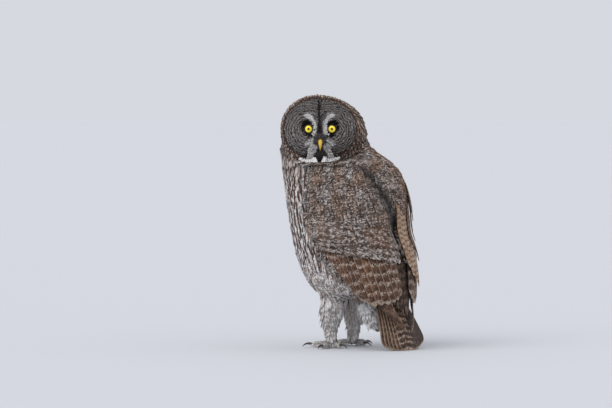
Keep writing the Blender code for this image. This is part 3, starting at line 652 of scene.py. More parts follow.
PATCH = 0.0028
NEIGHBOURS = list(itertools.product((-1, 0, 1), repeat=3))

skin.data.calc_loop_triangles()
corners = read_all(skin.data.loop_triangles, "vertices", 3, int)
skin_normals = read_all(skin.data.vertices, "normal", 3)


def even(gap):
    """The same spacing of roots everywhere."""
    return lambda points: np.full(len(points), gap)


def scatter(spacing, keep, seed, tries):
    """Roots spread over the skin where keep is true, none nearer to another than the spacing.

    tries is how many are drawn for each square of the spacing, before the near ones go.
    """
    draw = np.random.default_rng(seed)
    a, b, c = (skin_points[corners[:, i]] for i in range(3))
    area = np.linalg.norm(np.cross(b - a, c - a), axis=1) / 2
    count = int(tries * area.sum() / spacing(a.mean(0)[None])[0] ** 2)
    chosen = draw.choice(len(area), count, p=area / area.sum())
    r1, r2 = np.sqrt(draw.random(count)), draw.random(count)
    share = np.stack([1 - r1, r1 * (1 - r2), r1 * r2], -1)[..., None]
    points = (skin_points[corners[chosen]] * share).sum(1)
    out = unit((skin_normals[corners[chosen]] * share).sum(1))
    inside = keep(points, out)
    points, out = points[inside], out[inside]
    gaps = spacing(points)
    cell = gaps.max()
    grid = {}
    kept = []
    keys = np.floor(points / cell).astype(int).tolist()
    places = points.tolist()
    for index, (i, j, k) in enumerate(keys):
        x, y, z = places[index]
        limit = gaps[index] ** 2
        near = (place for di, dj, dk in NEIGHBOURS
                for place in grid.get((i + di, j + dj, k + dk), ()))
        if all((px - x) ** 2 + (py - y) ** 2 + (pz - z) ** 2 >= limit for px, py, pz in near):
            grid.setdefault((i, j, k), []).append((x, y, z))
            kept.append(index)
    return points[kept], out[kept]


def mesh_piece(name, points, faces, layers, colours, finish):
    """A piece from arrays: its points, faces of three or four corners, UV maps and colours."""
    mesh = bpy.data.meshes.new(name)
    loops = np.concatenate([face.ravel() for face in faces])
    sizes = np.concatenate([np.full(len(face), face.shape[1]) for face in faces])
    mesh.vertices.add(len(points))
    mesh.vertices.foreach_set("co", points.astype(np.float32).ravel())
    mesh.loops.add(len(loops))
    mesh.loops.foreach_set("vertex_index", loops.astype(np.int32))
    mesh.polygons.add(len(sizes))
    starts = np.concatenate([[0], np.cumsum(sizes)[:-1]])
    mesh.polygons.foreach_set("loop_start", starts.astype(np.int32))
    mesh.update(calc_edges=True)
    for layer, values in layers.items():
        mesh.uv_layers.new(name=layer).data.foreach_set(
            "uv", values[loops].astype(np.float32).ravel())
    for layer, values in colours.items():
        paint_points(mesh, layer, values)
    mesh.validate()
    made = bpy.data.objects.new(name, mesh)
    scene.collection.objects.link(made)
    mesh.materials.append(finish)
    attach(made, "root")
    return made


def feather_piece(name, points, faces, own, root, look, finish):
    """A piece of feathers that share a look: own is each point's place on its feather."""
    repeat = len(own) // len(root)
    numbers = np.stack([look["streak"], look["bars"], look["number"]], -1)
    colours = {"ground": look["ground"], "marking": look["marking"], "pattern": numbers}
    colours = {layer: np.repeat(values, repeat, 0) for layer, values in colours.items()}
    patch = np.repeat(unwrap(root), repeat, 0) + (own - 0.5) * PATCH
    return mesh_piece(name, points.reshape(-1, 3), faces, {"Feather": own, "OFBake": patch},
                      colours, finish)


skin_tree = BVHTree.FromPolygons(skin_points.tolist(), corners.tolist())


def drape(middle, height, slack):
    """Moves that bring places along each feather to their height over the skin."""
    moves = np.zeros(middle.shape)
    for index, place in enumerate(middle.reshape(-1, 3).tolist()):
        at, normal, _, _ = skin_tree.find_nearest(place)
        short = height.flat[index] - (Vector(place) - at).dot(normal)
        moves.reshape(-1, 3)[index] = normal * max(short, -slack.flat[index])
    return moves


def coat(name, root, lie, out, length, width, look, finish, slot, seed, strands=5,
         rise=0.10, curl=0.05, sink=0.0012, draped=False):
    """Feathers of a coat: root, lie and outward direction of each, with its sizes and look.

    rise is how steeply a feather leaves the skin, curl how far its tip bends back, and sink
    how deep its root lies. Draped feathers follow the skin under them.
    """
    draw = np.random.default_rng(seed)
    n = len(root)
    lie = laid_flat(unit(lie + draw.normal(scale=STRAY, size=(n, 3))), out)
    side = np.cross(lie, out)
    length = np.broadcast_to(length, n) * draw.uniform(*LENGTHS, n)
    width = np.broadcast_to(width, n) * draw.uniform(*WIDTHS, n)
    centre = (np.arange(strands) + 0.5) / strands * 2 - 1
    reach = 1 - 0.22 * centre**2 + draw.uniform(-0.08, 0.08, (n, strands))
    half = 1.5 / strands
    v = STRIP_ROWS[None, None, :] * reach[..., None]
    spans = half * STRIP_TAPER[None, None, :, None] * np.array([-1, 0, 1])
    u = centre[None, :, None, None] + spans
    u = np.broadcast_to(u, (n, strands, 3, 3))
    v = np.broadcast_to(v[..., None], u.shape)
    tip_u = centre[None, :] + draw.uniform(-0.12, 0.12, (n, strands))
    u = np.concatenate([u.reshape(n, strands, 9), tip_u[..., None]], -1)
    v = np.concatenate([v.reshape(n, strands, 9), reach[..., None]], -1)
    shape = np.interp(v, *VANE_WIDTHS)
    ridge = np.tile(STRIP_RIDGE, (n, strands, 1))
    rise = np.broadcast_to(rise, n) * draw.uniform(*RISES, n)
    layer = draw.uniform(-0.0005, 0.0005, (n, strands, 1))
    l3, w3 = length[:, None, None], width[:, None, None]
    height = (rise[:, None, None] * l3 * v - curl * l3 * v**3 - sink + layer * v
              - 0.10 * w3 * (u * shape) ** 2 + STRIP_THICKNESS * ridge)
    points = (root[:, None, None, :] + lie[:, None, None, :] * (l3 * v)[..., None]
              + side[:, None, None, :] * (w3 / 2 * u * shape)[..., None]
              + out[:, None, None, :] * height[..., None])
    if draped:
        along_it = np.append(STRIP_ROWS, 1.0)
        over = rise[:, None] * length[:, None] * along_it - curl * length[:, None] * along_it**3
        middle = (root[:, None] + lie[:, None] * (length[:, None] * along_it)[..., None]
                  + out[:, None] * (over - sink)[..., None])
        moves = drape(middle, over - sink, 0.55 * length[:, None] * along_it)
        points = points + moves[:, ROW_OF_POINT][:, None]
    points[..., 2] = np.maximum(points[..., 2], 0.0003 + STRIP_THICKNESS * ridge)
    first = (np.arange(n * strands) * STRIP_POINTS)[:, None]
    quads = (first[:, :, None] + np.array(STRIP_QUADS)[None]).reshape(-1, 4)
    tris = (first[:, :, None] + np.array(STRIP_TRIS)[None]).reshape(-1, 3)
    own = np.stack([u * 0.5 + 0.5, v], -1).reshape(-1, 2)
    return feather_piece(name, points, [quads, tris], own, root, look, finish)


def feather_values(tree):
    """What a feather's finish reads: colours, numbers, places across and along, and in space."""
    colours = [add(tree, "Attribute", attribute_name=name) for name in ("ground", "marking")]
    pattern = add(tree, "Attribute", attribute_name="pattern").node.outputs["Vector"]
    numbers = add(tree, "SeparateXYZ", (pattern,)).node.outputs
    own = add(tree, "SeparateXYZ", (add(tree, "UVMap", uv_map="Feather"),)).node.outputs
    from_shaft = add(tree, "Math", (own[0], 0.5), operation="SUBTRACT")
    from_shaft = add(tree, "Math", (from_shaft,), operation="ABSOLUTE")
    object_place = add(tree, "TexCoord").node.outputs["Object"]
    return (*colours, *numbers, own[0], own[1], from_shaft, object_place)


# Soft vane: barbs crossed by fine wavy dark bars, broken into flecks, with a dark streak
# along the shaft and pale flecks between. Dull, with a faint sheen from the loose barbules.
# The flecks are drawn about 5 mm across, coarser than most real ones, so that they show.
plumage, tree, shader = finish_of("soft feather vane", 0.9, Specular_IOR_Level=0.2,
                                  Sheen_Weight=0.12, Sheen_Roughness=0.5)
ground, marking, streak, bars, number, u, v, from_shaft, object_place = feather_values(tree)
seed = add(tree, "Math", (number, 60.0), operation="MULTIPLY")
own_place = add(tree, "CombineXYZ", (add(tree, "Math", (u, 3.0), operation="MULTIPLY"),
                                     add(tree, "Math", (v, 6.0), operation="MULTIPLY"), seed))
blotch = add(tree, "TexNoise", {"Vector": own_place, "Scale": 1.0, "Detail": 2.0})
flat_place = add(tree, "VectorMath", (object_place, (1.0, 1.0, 2.1)), operation="MULTIPLY")
fleck = add(tree, "TexNoise", {"Vector": flat_place, "Scale": 170.0, "Detail": 3.0})
cloud = add(tree, "TexNoise", {"Vector": object_place, "Scale": 75.0, "Detail": 1.0})
fleck = add(tree, "Math", (cloud, 0.6, fleck), operation="MULTIPLY_ADD")
fleck = add(tree, "Math", (fleck, 0.29), operation="SUBTRACT")
aside = add(tree, "VectorMath", (flat_place, (0.7, 0.3, 0.5)), operation="ADD")
spot = add(tree, "TexNoise", {"Vector": aside, "Scale": 190.0, "Detail": 3.0})
ragged = add(tree, "Math", (blotch, 0.5, -0.25), operation="MULTIPLY_ADD")
ragged = add(tree, "Math", (from_shaft, 2.0, ragged), operation="MULTIPLY_ADD")
shaft = add(tree, "Math", (streak, ragged), operation="SUBTRACT")
shaft = add(tree, "MapRange", {"Value": shaft, "From Min": -0.06, "From Max": 0.08})
wave = add(tree, "Math", (v, 28.0, seed), operation="MULTIPLY_ADD")
wave = add(tree, "Math", (blotch, 9.0, wave), operation="MULTIPLY_ADD")
wave = add(tree, "Math", (wave,), operation="SINE")
barred = add(tree, "Math", (wave, 0.085, fleck), operation="MULTIPLY_ADD")
barred = add(tree, "MapRange", {"Value": barred, "From Min": 0.48, "From Max": 0.55})
barred = add(tree, "Math", (barred, bars), operation="MULTIPLY")
mark = add(tree, "Math", (shaft, barred), operation="MAXIMUM")
pale = add(tree, "Math", (wave, -0.05, spot), operation="MULTIPLY_ADD")
pale = add(tree, "MapRange", {"Value": pale, "From Min": 0.52, "From Max": 0.60, "To Max": 0.85})
pale = add(tree, "Math", (pale, bars), operation="MULTIPLY")
lighter = add(tree, "MixRGB", (1.0, ground, (0.30, 0.28, 0.27, 1)), blend_type="ADD")
colour = add(tree, "MixRGB", (pale, ground, lighter))
colour = add(tree, "MixRGB", (mark, colour, marking))
# Painted shade: each feather darkens towards its root, where the feathers over it would shade it.
depth = add(tree, "MapRange", {"Value": v, "From Min": 0.0, "From Max": 0.5, "To Min": 0.7})
colour = add(tree, "MixRGB", (1.0, colour, depth), blend_type="MULTIPLY")
tree.links.new(colour, shader.inputs["Base Color"])


def down_the_body(points, out):
    """Lie of the body's feathers: down, backwards under the belly, and away from the neck."""
    lie = np.tile(np.array([0.0, 0.25, -1.0]), (len(points), 1))
    away = (points - HEAD + 0.03 * AHEAD) * np.array([1, 1, 0])
    return laid_flat(lie + unit(away) * blend(0.3, 0.8, out[:, 2:]), out)


WING_HEM, BODY_HEM = 0.225, 0.118


def on_wing(points):
    """Whether points lie on a folded wing."""
    angle, z = wing_place(points)
    covered = np.zeros(len(points), bool)
    for side, _ in SIDES:
        rear, front = wing_edges(side, z)
        covered |= (side * angle > rear) & (side * angle < front)
    return covered & (z > WING_HEM) & (z < WING_SPAN[1])


def breast_of(points):
    """How far points lie on the breast in front of the wings, from 0 to 1."""
    angle, z = wing_place(points)
    ahead = blend(-4, 8, np.abs(angle) - wing_edges(1, z)[1])
    return ahead * blend(0.43, 0.39, z) * blend(0.16, 0.20, z)


def body_keep(points, out):
    """Roots of the body's feathers: all but the wings, the head and the legs."""
    _, forward, up = head_place(points)
    beside = (near_head(points) > 0.97) | (forward < -0.09)
    return (beside | (up < -0.066)) & ~on_wing(points) & (height_of(points) > BODY_HEM)


def cover(name, spacing, keep, lie, look, sizes, slot, seed, tries=7, **shape):
    """Cover a part of the skin with soft feathers; sizes are their length, width and rise."""
    root, out = scatter(spacing, keep, seed, tries)
    length, width, rise = sizes(root) if callable(sizes) else sizes
    coat(name, root, lie(root, out), out, length, width,
         look(root, np.random.default_rng(seed + 1)), plumage, slot, seed + 2, rise=rise, **shape)


def body_sizes(root):
    """The feathers are longer towards the belly, and longest and widest on the breast."""
    breast = breast_of(root)
    length = 0.026 + 0.010 * blend(0.30, 0.16, height_of(root)) + 0.014 * breast
    return length, 0.0150 + 0.009 * breast, 0.15 - 0.04 * breast


cover("body_coat", lambda points: 0.0074 + 0.0018 * breast_of(points), body_keep, down_the_body,
      body_look, body_sizes, "body_feathers", 11, tries=10, draped=True)


def wing_keep(points, out):
    """Roots of the feathers of the folded wings, the mantle."""
    return on_wing(points) & (near_head(points) > 1.0)


cover("mantle", even(0.0085), wing_keep, down_the_body, body_look, (0.028, 0.0200, 0.14),
      "wing_feathers", 21, draped=True)


def shoulder_keep(points, out):
    """Roots of the feathers on the shoulders, over the upper edge of the mantle."""
    z = height_of(points)
    return (z > 0.380) & (z < 0.428) & (near_head(points) > 1.02) & (breast_of(points) < 0.1)


cover("shoulders", even(0.0085), shoulder_keep, down_the_body, body_look, (0.030, 0.0210, 0.16),
      "wing_feathers", 25, draped=True)


def crown_keep(points, out):
    """Roots of the feathers of the head, outside the facial disc."""
    x, forward, up = head_place(points)
    beyond = np.hypot(x, up) > outline(np.arctan2(up, x), DISC) * 0.96
    return (near_head(points) < 1.02) & (beyond | (forward < 0.0)) & (forward > -0.10)


def head_lie(points, out):
    """Lie of the head's feathers: back from the face and down."""
    return laid_flat(np.tile(-AHEAD * 0.9 - UP, (len(points), 1)), out)


cover("head_coat", even(0.0052), crown_keep, head_lie, head_look, (0.0160, 0.0100, 0.26),
      "face_feathers", 31, strands=4, draped=True)

# Facial disc
# The round face of short stiff feathers that spread from each eye, grey with dark wavy
# rings. White crescents stand between the eyes, black round them, and white under the bill.

# The rings are centred on the eyes, and the midline lies a little to the bird's right.
EYE_X, EYE_CLEARANCE = 0.0261, 0.0088
MIDLINE = 0.0012
DISC_SPACING, DISC_JITTER = 0.0027, 0.0007
DISC_HALF_WIDTH, DISC_HALF_HEIGHT = 0.084, 0.072


def disc_look(x, up, draw):
    """Look of the face at a place on it, in the head's frame."""
    n = len(x)
    dx = np.abs(x) - EYE_X
    across = np.abs(x + MIDLINE)
    ground = mix(shade("837E7C"), shade("A7A29F"), draw.uniform(0, 1, n))
    dark = mix(shade("332E2D"), shade("4A4442"), draw.uniform(0, 1, n))

    def lay(share, light, deep):
        """Lay a patch of colour over the rings."""
        return mix(ground, shade(light), share), mix(dark, shade(deep), share)

    ground, dark = lay(0.40 * blend(0.0, 0.035, up), "5C5755", "1F1B1A")
    upper = np.exp(-((across / 0.007) ** 2)) * blend(0.005, 0.03, up)
    ground, dark = lay(0.6 * upper, "7C787A", "2B2829")
    ellipse = np.hypot((across - 0.034) / 0.0228, (up + 0.002) / 0.0270)
    crescent = np.exp(-(((ellipse - 1.0) / 0.16) ** 2)) * blend(0.036, 0.025, across)
    ground, dark = lay(np.clip(1.8 * crescent, 0, 1), "E4E2E0", "B9B6B4")
    half = 0.0022 + 0.0034 * blend(0.012, -0.006, up)
    middle = np.exp(-((across / half) ** 4)) * blend(-0.040, -0.030, up)
    ground, dark = lay(middle, "30292A", "1B1717")
    leaning = dx - 0.30 * up
    patch = (leaning + 0.0005) ** 2 / 0.0108**2 + (up - 0.0005) ** 2 / 0.0143**2
    ground, dark = lay(blend(1.25, 0.8, patch), "191413", "0F0C0C")
    strip = across - 0.0100 - 0.25 * np.clip(-up - 0.030, 0, 0.1)
    lores = np.exp(-((strip / 0.0052) ** 2)) * blend(-0.028, -0.036, up)
    ground, dark = lay(lores, "A9A5A2", "6A6563")
    beside = np.exp(-(((strip - 0.0115) / 0.0045) ** 2)) * blend(-0.026, -0.036, up)
    ground, dark = lay(0.85 * beside, "37312F", "1E1A19")
    bib = np.exp(-((x / 0.0080) ** 4)) * blend(-0.044, -0.050, up)
    ground, dark = lay(bib, "231D1C", "161212")
    rim = blend(0.93, 0.985, np.hypot(x, up) / outline(np.arctan2(up, x), DISC))
    ground, dark = lay(rim, "4F3A2E", "2A1D17")
    return ground, dark


gx, gz = np.meshgrid(np.arange(-DISC_HALF_WIDTH, DISC_HALF_WIDTH, DISC_SPACING),
                     np.arange(-DISC_HALF_HEIGHT, DISC_HALF_HEIGHT, DISC_SPACING * 0.87))
gx = gx + (np.arange(gx.shape[0]) % 2)[:, None] * DISC_SPACING / 2
draw = np.random.default_rng(41)
gx = (gx + draw.uniform(-DISC_JITTER, DISC_JITTER, gx.shape)).ravel()
gz = (gz + draw.uniform(-DISC_JITTER, DISC_JITTER, gz.shape)).ravel()
rim = outline(np.arctan2(gz, gx), DISC) * (1.0 - 0.07 * blend(0.02, 0.06, gz))
inside = np.hypot(gx, gz) < rim
clear_of_eye = np.hypot(np.abs(gx) - EYE_X, gz) > EYE_CLEARANCE
clear_of_bill = ~((np.abs(gx) < 0.004) & (gz < -0.020) & (gz > -0.046))
chosen = inside & clear_of_eye & clear_of_bill
gx, gz = gx[chosen], gz[chosen]
side = np.where(gx >= 0, 1.0, -1.0)
from_eye = np.stack([gx - side * EYE_X, gz], -1)
up_and_out = np.stack([side * 0.5, np.where(gz > -0.02, 1.0, -1.2)], -1)
inner = blend(-0.004, -0.014, np.abs(gx) - EYE_X)[:, None]
way = unit(unit(from_eye) * (1 - inner) + unit(up_and_out) * inner)
lie = way[:, :1] * LEFT + way[:, 1:] * UP
step = 0.001
here = head_point(gx, face_depth(gx, gz), gz)
out = unit(np.cross(head_point(gx + step, face_depth(gx + step, gz), gz) - here,
                    head_point(gx, face_depth(gx, gz + step), gz + step) - here))
out = out * np.sign((out * AHEAD).sum(-1, keepdims=True))
ground, dark = disc_look(gx, gz, np.random.default_rng(42))
look = dict(ground=ground, marking=dark, streak=np.zeros(len(gx)), bars=np.zeros(len(gx)),
            number=np.random.default_rng(43).uniform(0, 1, len(gx)))

# Disc feather: open hair-like barbs, matt, crossed by wavy broken dark rings, 5.5 mm apart
# about the eye.
RING_SPACING = 0.0055
disc_finish, tree, shader = finish_of("disc feather", 0.95, Specular_IOR_Level=0.15)
ground = add(tree, "Attribute", attribute_name="ground")
marking = add(tree, "Attribute", attribute_name="marking")
object_place = add(tree, "TexCoord").node.outputs["Object"]
waver = add(tree, "TexNoise", {"Vector": object_place, "Scale": 60.0, "Detail": 0.0})
ripple = add(tree, "TexNoise", {"Vector": object_place, "Scale": 170.0, "Detail": 1.0})
fade = add(tree, "TexNoise", {"Vector": object_place, "Scale": 120.0, "Detail": 1.0})
nearest = None
for eye in (1, -1):
    centre = head_point(np.array(eye * EYE_X), np.array(EYE_FORWARD), np.array(-0.002))
    away = add(tree, "VectorMath", (object_place, tuple(centre)), operation="DISTANCE")
    away = away.node.outputs["Value"]
    nearest = away if nearest is None else add(tree, "Math", (nearest, away),
                                               operation="MINIMUM")
phase = add(tree, "Math", (nearest, 2 * math.pi / RING_SPACING), operation="MULTIPLY")
phase = add(tree, "Math", (waver, 8.0, phase), operation="MULTIPLY_ADD")
phase = add(tree, "Math", (ripple, 8.5, phase), operation="MULTIPLY_ADD")
ring = add(tree, "Math", (phase,), operation="SINE")
ring = add(tree, "MapRange", {"Value": ring, "From Min": -0.7, "From Max": 0.5})
fade = add(tree, "MapRange", {"Value": fade, "From Min": 0.42, "From Max": 0.56, "To Min": 0.15})
ring = add(tree, "Math", (ring, 0.5), operation="SUBTRACT")
ring = add(tree, "Math", (ring, fade, 0.55), operation="MULTIPLY_ADD")
colour = add(tree, "MixRGB", (ring, ground, marking))
tree.links.new(colour, shader.inputs["Base Color"])
coat("disc_coat", here - out * 0.003, lie, out, 0.0085, 0.0040, look, disc_finish,
     "face_feathers", 44, strands=2, rise=0.36, curl=0.10, sink=0.0)

# Ruff, moustache and bib
# Stiff dark feathers stand close round the disc, with longer brown ones behind them. White
# tufts hang under the face on both sides of a black bib, and bristles cover the bill's base.
def face_tufts(name, x, up, way, length, width, ground, marking, streak, seed, strands=3,
               rise=0.25, curl=0.1, lift=0.0, back=0.0):
    """Tufts of the face: place, direction and sizes, in the head's frame.

    lift is how far their roots stand off the face, and back how much they lean backwards.
    """
    n = len(x)
    place = head_point(x, face_depth(x, up) + lift, up)
    flat_way = unit(way[:, :1] * LEFT + way[:, 1:] * UP)
    lie = flat_way - AHEAD * back
    out = unit(AHEAD + flat_way * back)
    number = np.random.default_rng(seed).uniform(0, 1, n)
    look = dict(ground=np.broadcast_to(ground, (n, 3)), marking=np.broadcast_to(marking, (n, 3)),
                streak=np.broadcast_to(streak, n), bars=np.full(n, 0.3), number=number)
    coat(name, place, unit(lie), out, length, width, look, plumage, "face_feathers", seed,
         strands=strands, rise=rise, curl=curl, sink=0.0)


def ring_tufts(name, count, low, high, seed, colours, marking, streak, length, width, **lay):
    """Tufts set in a ring about the disc, pointing outwards."""
    draw = np.random.default_rng(seed)
    theta = circle(count) + draw.uniform(-0.02, 0.02, count)
    rim = outline(theta, DISC) * draw.uniform(low, high, count)
    way = np.stack([np.cos(theta), np.sin(theta)], -1)
    ground = mix(shade(colours[0]), shade(colours[1]), draw.uniform(0, 1, count))
    face_tufts(name, rim * np.cos(theta), rim * np.sin(theta), way, length, width, ground,
               shade(marking), draw.uniform(*streak, count), seed + 1, **lay)


ring_tufts("ruff", 320, 0.95, 0.995, 51, ("6A4E3C", "402D23"), "221814", (0.3, 0.6), 0.0085,
           0.0046, rise=0.30, curl=0.25, lift=-0.0030, back=0.5)
ring_tufts("ruff_edge", 800, 0.95, 1.03, 53, ("9A6C4E", "D3C1B0"), "4A3226", (0.2, 0.6), 0.0135,
           0.0062, rise=0.12, curl=0.12, lift=-0.0030, back=1.4)

# The moustache, the bib, the grey lores beside the bill and its bristles share one random
# sequence, and are drawn in this order.
draw = np.random.default_rng(54)


def both_sides(count):
    """Sides of a number of tufts, 1 or -1, and shares of their row's reach."""
    side = np.where(draw.random(count) < 0.5, 1.0, -1.0)
    return side, draw.uniform(0, 1, count)


n = 260
side, reach = both_sides(n)
reach = reach ** 1.7
x = side * (0.0105 + 0.034 * reach) - 0.002
up = -0.0690 + 0.006 * (1 - blend(0.0, 0.25, reach))
up = up + 0.0035 * (1 - 0.6 * reach) * draw.uniform(-1, 1, n)
up = up + 0.005 * reach**2.5 + 0.002 * (side > 0)
way = unit(np.stack([side * (0.9 * reach - 0.1) + draw.uniform(-0.2, 0.2, n),
                     np.full(n, -1.0)], -1))
face_tufts("moustache", x, up, way, (0.0205 - 0.0155 * reach) * draw.uniform(0.6, 1.15, n),
           0.0044 - 0.0022 * reach, shade("FCFBFA"), shade("D2CECB"), draw.uniform(0, 0.3, n),
           55, rise=draw.uniform(0.30, 0.65, n), lift=0.010 - 0.004 * reach)
n = 90
x = draw.uniform(-0.0095, 0.0095, n)
up = draw.uniform(-0.066, -0.047, n)
way = unit(np.stack([x * 20, np.full(n, -1.0)], -1))
face_tufts("bib", x, up, way, 0.014, 0.0045, shade("2B2220"), shade("171211"), 0.3, 57,
           rise=0.25, curl=0.15, lift=0.0045)
n = 150
side, reach = both_sides(n)
up = draw.uniform(-0.060, -0.030, n)
x = side * (0.0065 + 0.010 * reach - 0.20 * (up + 0.030) * (0.4 + reach))
way = unit(np.stack([side * (0.25 + 0.5 * reach), np.full(n, -1.0)], -1))
low = blend(-0.032, -0.048, up)
face_tufts("lores", x, up, way, 0.013, 0.0034,
           mix(mix(shade("9A9592"), shade("C9C6C4"), draw.uniform(0, 1, n)), shade("EDEBE9"), low),
           shade("7A7572"), 0.2, 58, strands=2, rise=0.12, curl=0.08, lift=0.002)
n = 190
side, reach = both_sides(n)
x = side * 0.0070 * reach
up = -0.009 - 0.017 * draw.uniform(0, 1, n)
way = unit(np.stack([side * (0.10 + 0.75 * reach), -1.0 + 0.2 * reach], -1))
face_tufts("bristles", x, up, way, 0.013, 0.0022, mix(shade("2A2423"), shade("4A4240"), reach),
           shade("1A1615"), 0.3, 59, strands=2, rise=0.32, curl=0.15, lift=0.004)

# Eyes
# Each eye is a still ball of clear cornea over a bright yellow iris with a small black
# pupil. A ring of black bare skin, the lids, holds it.
EYE_RADIUS, IRIS_RADIUS = 0.012, 0.0082
LID_RADIUS, LID_THICKNESS = 0.0086, 0.0014


def turned(profile, centre, count=64):
    """Rings of a round form about the line of sight: distance from it and forward reach."""
    spin = circle(count)
    return [head_point(centre[0] + radius * np.cos(spin), centre[1] + forward,
                       centre[2] + radius * np.sin(spin)) for radius, forward in profile]


# Eye: a wet clear cornea gives a small sharp glint over an iris of yellow fibres, bright in
# life; it glows faintly as painted light, and is darker at its rim as painted shade.
iris_finish, tree, shader = finish_of("eye under clear cornea", 0.30, Coat_Weight=0.6,
                                      Coat_Roughness=0.03, Specular_IOR_Level=0.3)
reach = add(tree, "Attribute", attribute_name="pattern").node.outputs["Vector"]
split = add(tree, "SeparateXYZ", (reach,)).node
spoke = add(tree, "CombineXYZ", (add(tree, "Math", (split.outputs[1], 9.0), operation="MULTIPLY"),
                                 add(tree, "Math", (split.outputs[2], 9.0), operation="MULTIPLY"),
                                 add(tree, "Math", (split.outputs[0], 0.6), operation="MULTIPLY")))
fibre = add(tree, "TexNoise", {"Vector": spoke, "Scale": 1.0, "Detail": 3.0})
yellow = add(tree, "MixRGB", (fibre, shade("F2D200"), shade("FFE63A")))
# Painted shade: the iris darkens towards its rim.
iris_rim_shade = add(tree, "MapRange", {"Value": split.outputs[0], "From Min": 0.84, "From Max": 0.99})
yellow = add(tree, "MixRGB", (iris_rim_shade, yellow, shade("3A2D05")))
pupil = add(tree, "MapRange", {"Value": split.outputs[0], "From Min": 0.335, "From Max": 0.365})
colour = add(tree, "MixRGB", (pupil, (0.002, 0.002, 0.002, 1), yellow))
tree.links.new(colour, shader.inputs["Base Color"])
# Painted light: the iris glows faintly though it is no lamp.
tree.links.new(colour, shader.inputs["Emission Color"])
shader.inputs["Emission Strength"].default_value = 0.12

# Lid: bare black skin, smooth and a little greasy.
lid_finish, tree, shader = finish_of("bare black lid", 0.45)
shader.inputs["Base Color"].default_value = (*shade("15110F"), 1)
for side, word in SIDES:
    centre = (side * EYE_X, EYE_FORWARD, 0.0)
    polar = np.linspace(0.02, np.pi - 0.02, 60)
    eye = loft("eyeball_" + word, turned([(EYE_RADIUS * math.sin(a), EYE_RADIUS * math.cos(a))
                                          for a in polar], centre))
    x, forward, up = head_place(read_all(eye.data.vertices, "co", 3))
    dx = x - centre[0]
    turn = np.arctan2(up, dx)
    reach = np.where(forward > centre[1], np.hypot(dx, up) / IRIS_RADIUS, 2.0)
    paint_points(eye.data, "pattern", np.stack([reach, np.cos(turn), np.sin(turn)], -1))
    eye.data.materials.append(iris_finish)
    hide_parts("eye_" + word)
    lid = loft("lids_" + word, turned(
        [(LID_RADIUS + LID_THICKNESS * math.cos(a), 0.0082 + LID_THICKNESS * math.sin(a))
         for a in np.linspace(-0.5, 2 * np.pi - 0.9, 14)], centre))
    lid.data.materials.append(lid_finish)
    for made in (eye, lid):
        smooth(made)
        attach(made, "root")

# Bill
# Hooked yellow horn in two halves, worn smooth, with a small nostril on each side at the
# edge of the bristles. The lower half closes inside the upper.
NOSTRIL_X, NOSTRIL_PLACE = 0.0046, (0.0640, -0.0255)
NOSTRIL_RADIUS, NOSTRIL_REACH = 0.0013, 0.0018
# Stations: share of the length, how far forward and up, half width and half height.
BILL_UPPER = [(0.00, 0.046, -0.0230, 0.0040, 0.0036), (0.17, 0.056, -0.0245, 0.0046, 0.0044),
              (0.36, 0.066, -0.0270, 0.0047, 0.0046), (0.53, 0.0720, -0.0310, 0.0044, 0.0046),
              (0.70, 0.0745, -0.0365, 0.0033, 0.0037), (0.86, 0.0742, -0.0415, 0.0019, 0.0025),
              (1.00, 0.0725, -0.0470, 0.0005, 0.0007)]
BILL_LOWER = [(0.0, 0.046, -0.0290, 0.0040, 0.0034), (0.4, 0.056, -0.0315, 0.0040, 0.0034),
              (0.75, 0.0640, -0.0350, 0.0034, 0.0030), (1.0, 0.0692, -0.0395, 0.0017, 0.0015)]


def horn(name, path, levels=40, count=32):
    """Half of the bill: oval rings along a bent path in the head's middle plane."""
    t = np.linspace(0, 1, levels)
    forward, up, half_width, half_height = along(path, t)
    heading = unit(np.stack([np.gradient(forward), np.gradient(up)], -1))
    spin = circle(count)
    rise = half_height[:, None] * np.sin(spin)
    rings = head_point(half_width[:, None] * np.cos(spin), forward[:, None] - heading[:, 1:] * rise,
                       up[:, None] + heading[:, :1] * rise)
    return loft(name, rings)


# Horn: keratin with a soft polish, clear yellow, deeper towards the base and with the
# faint lengthwise growth lines of a bill.
horn_finish, tree, shader = finish_of("yellow horn", 0.35, Coat_Weight=0.3,
                                      Coat_Roughness=0.2, Subsurface_Weight=0.08)
shader.inputs["Subsurface Scale"].default_value = 0.003
object_place = add(tree, "TexCoord").node.outputs["Object"]
stretched = add(tree, "VectorMath", (object_place, (900, 900, 120)), operation="MULTIPLY")
growth = add(tree, "TexNoise", {"Vector": stretched, "Scale": 1.0, "Detail": 3.0})
colour = add(tree, "MixRGB", (growth, shade("D8A420"), shade("F2CC45")))
height = add(tree, "SeparateXYZ", (object_place,)).node.outputs["Z"]
base = add(tree, "MapRange", {"Value": height, "From Min": float(HEAD[2]) - 0.052,
                              "From Max": float(HEAD[2]) - 0.015, "To Min": 0.0, "To Max": 0.5})
colour = add(tree, "MixRGB", (base, colour, shade("8F7A34")))
tree.links.new(colour, shader.inputs["Base Color"])
bump = add(tree, "Bump", {"Height": growth, "Strength": 0.15, "Distance": 0.0004})
tree.links.new(bump, shader.inputs["Normal"])
for word, path in (("upper", BILL_UPPER), ("lower", BILL_LOWER)):
    half = horn("horn_" + word, path)
    if word == "upper":
        for side, _ in SIDES:
            pit = [(NOSTRIL_RADIUS * math.sin(a), NOSTRIL_REACH * math.cos(a))
                   for a in np.linspace(0.1, 3.04, 9)]
            carve(half, loft("nostril", turned(pit, (side * NOSTRIL_X, *NOSTRIL_PLACE), 16)))
    half.data.materials.append(horn_finish)
    smooth(half)
    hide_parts("bill_" + word)
    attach(half, "root")

# Flight feathers
# Stiff vanes of the wings in tiers: secondaries over primaries, and a row of greater
# coverts over their roots. Brown, crossed by rows of paler mottled bars, the tips fringed.

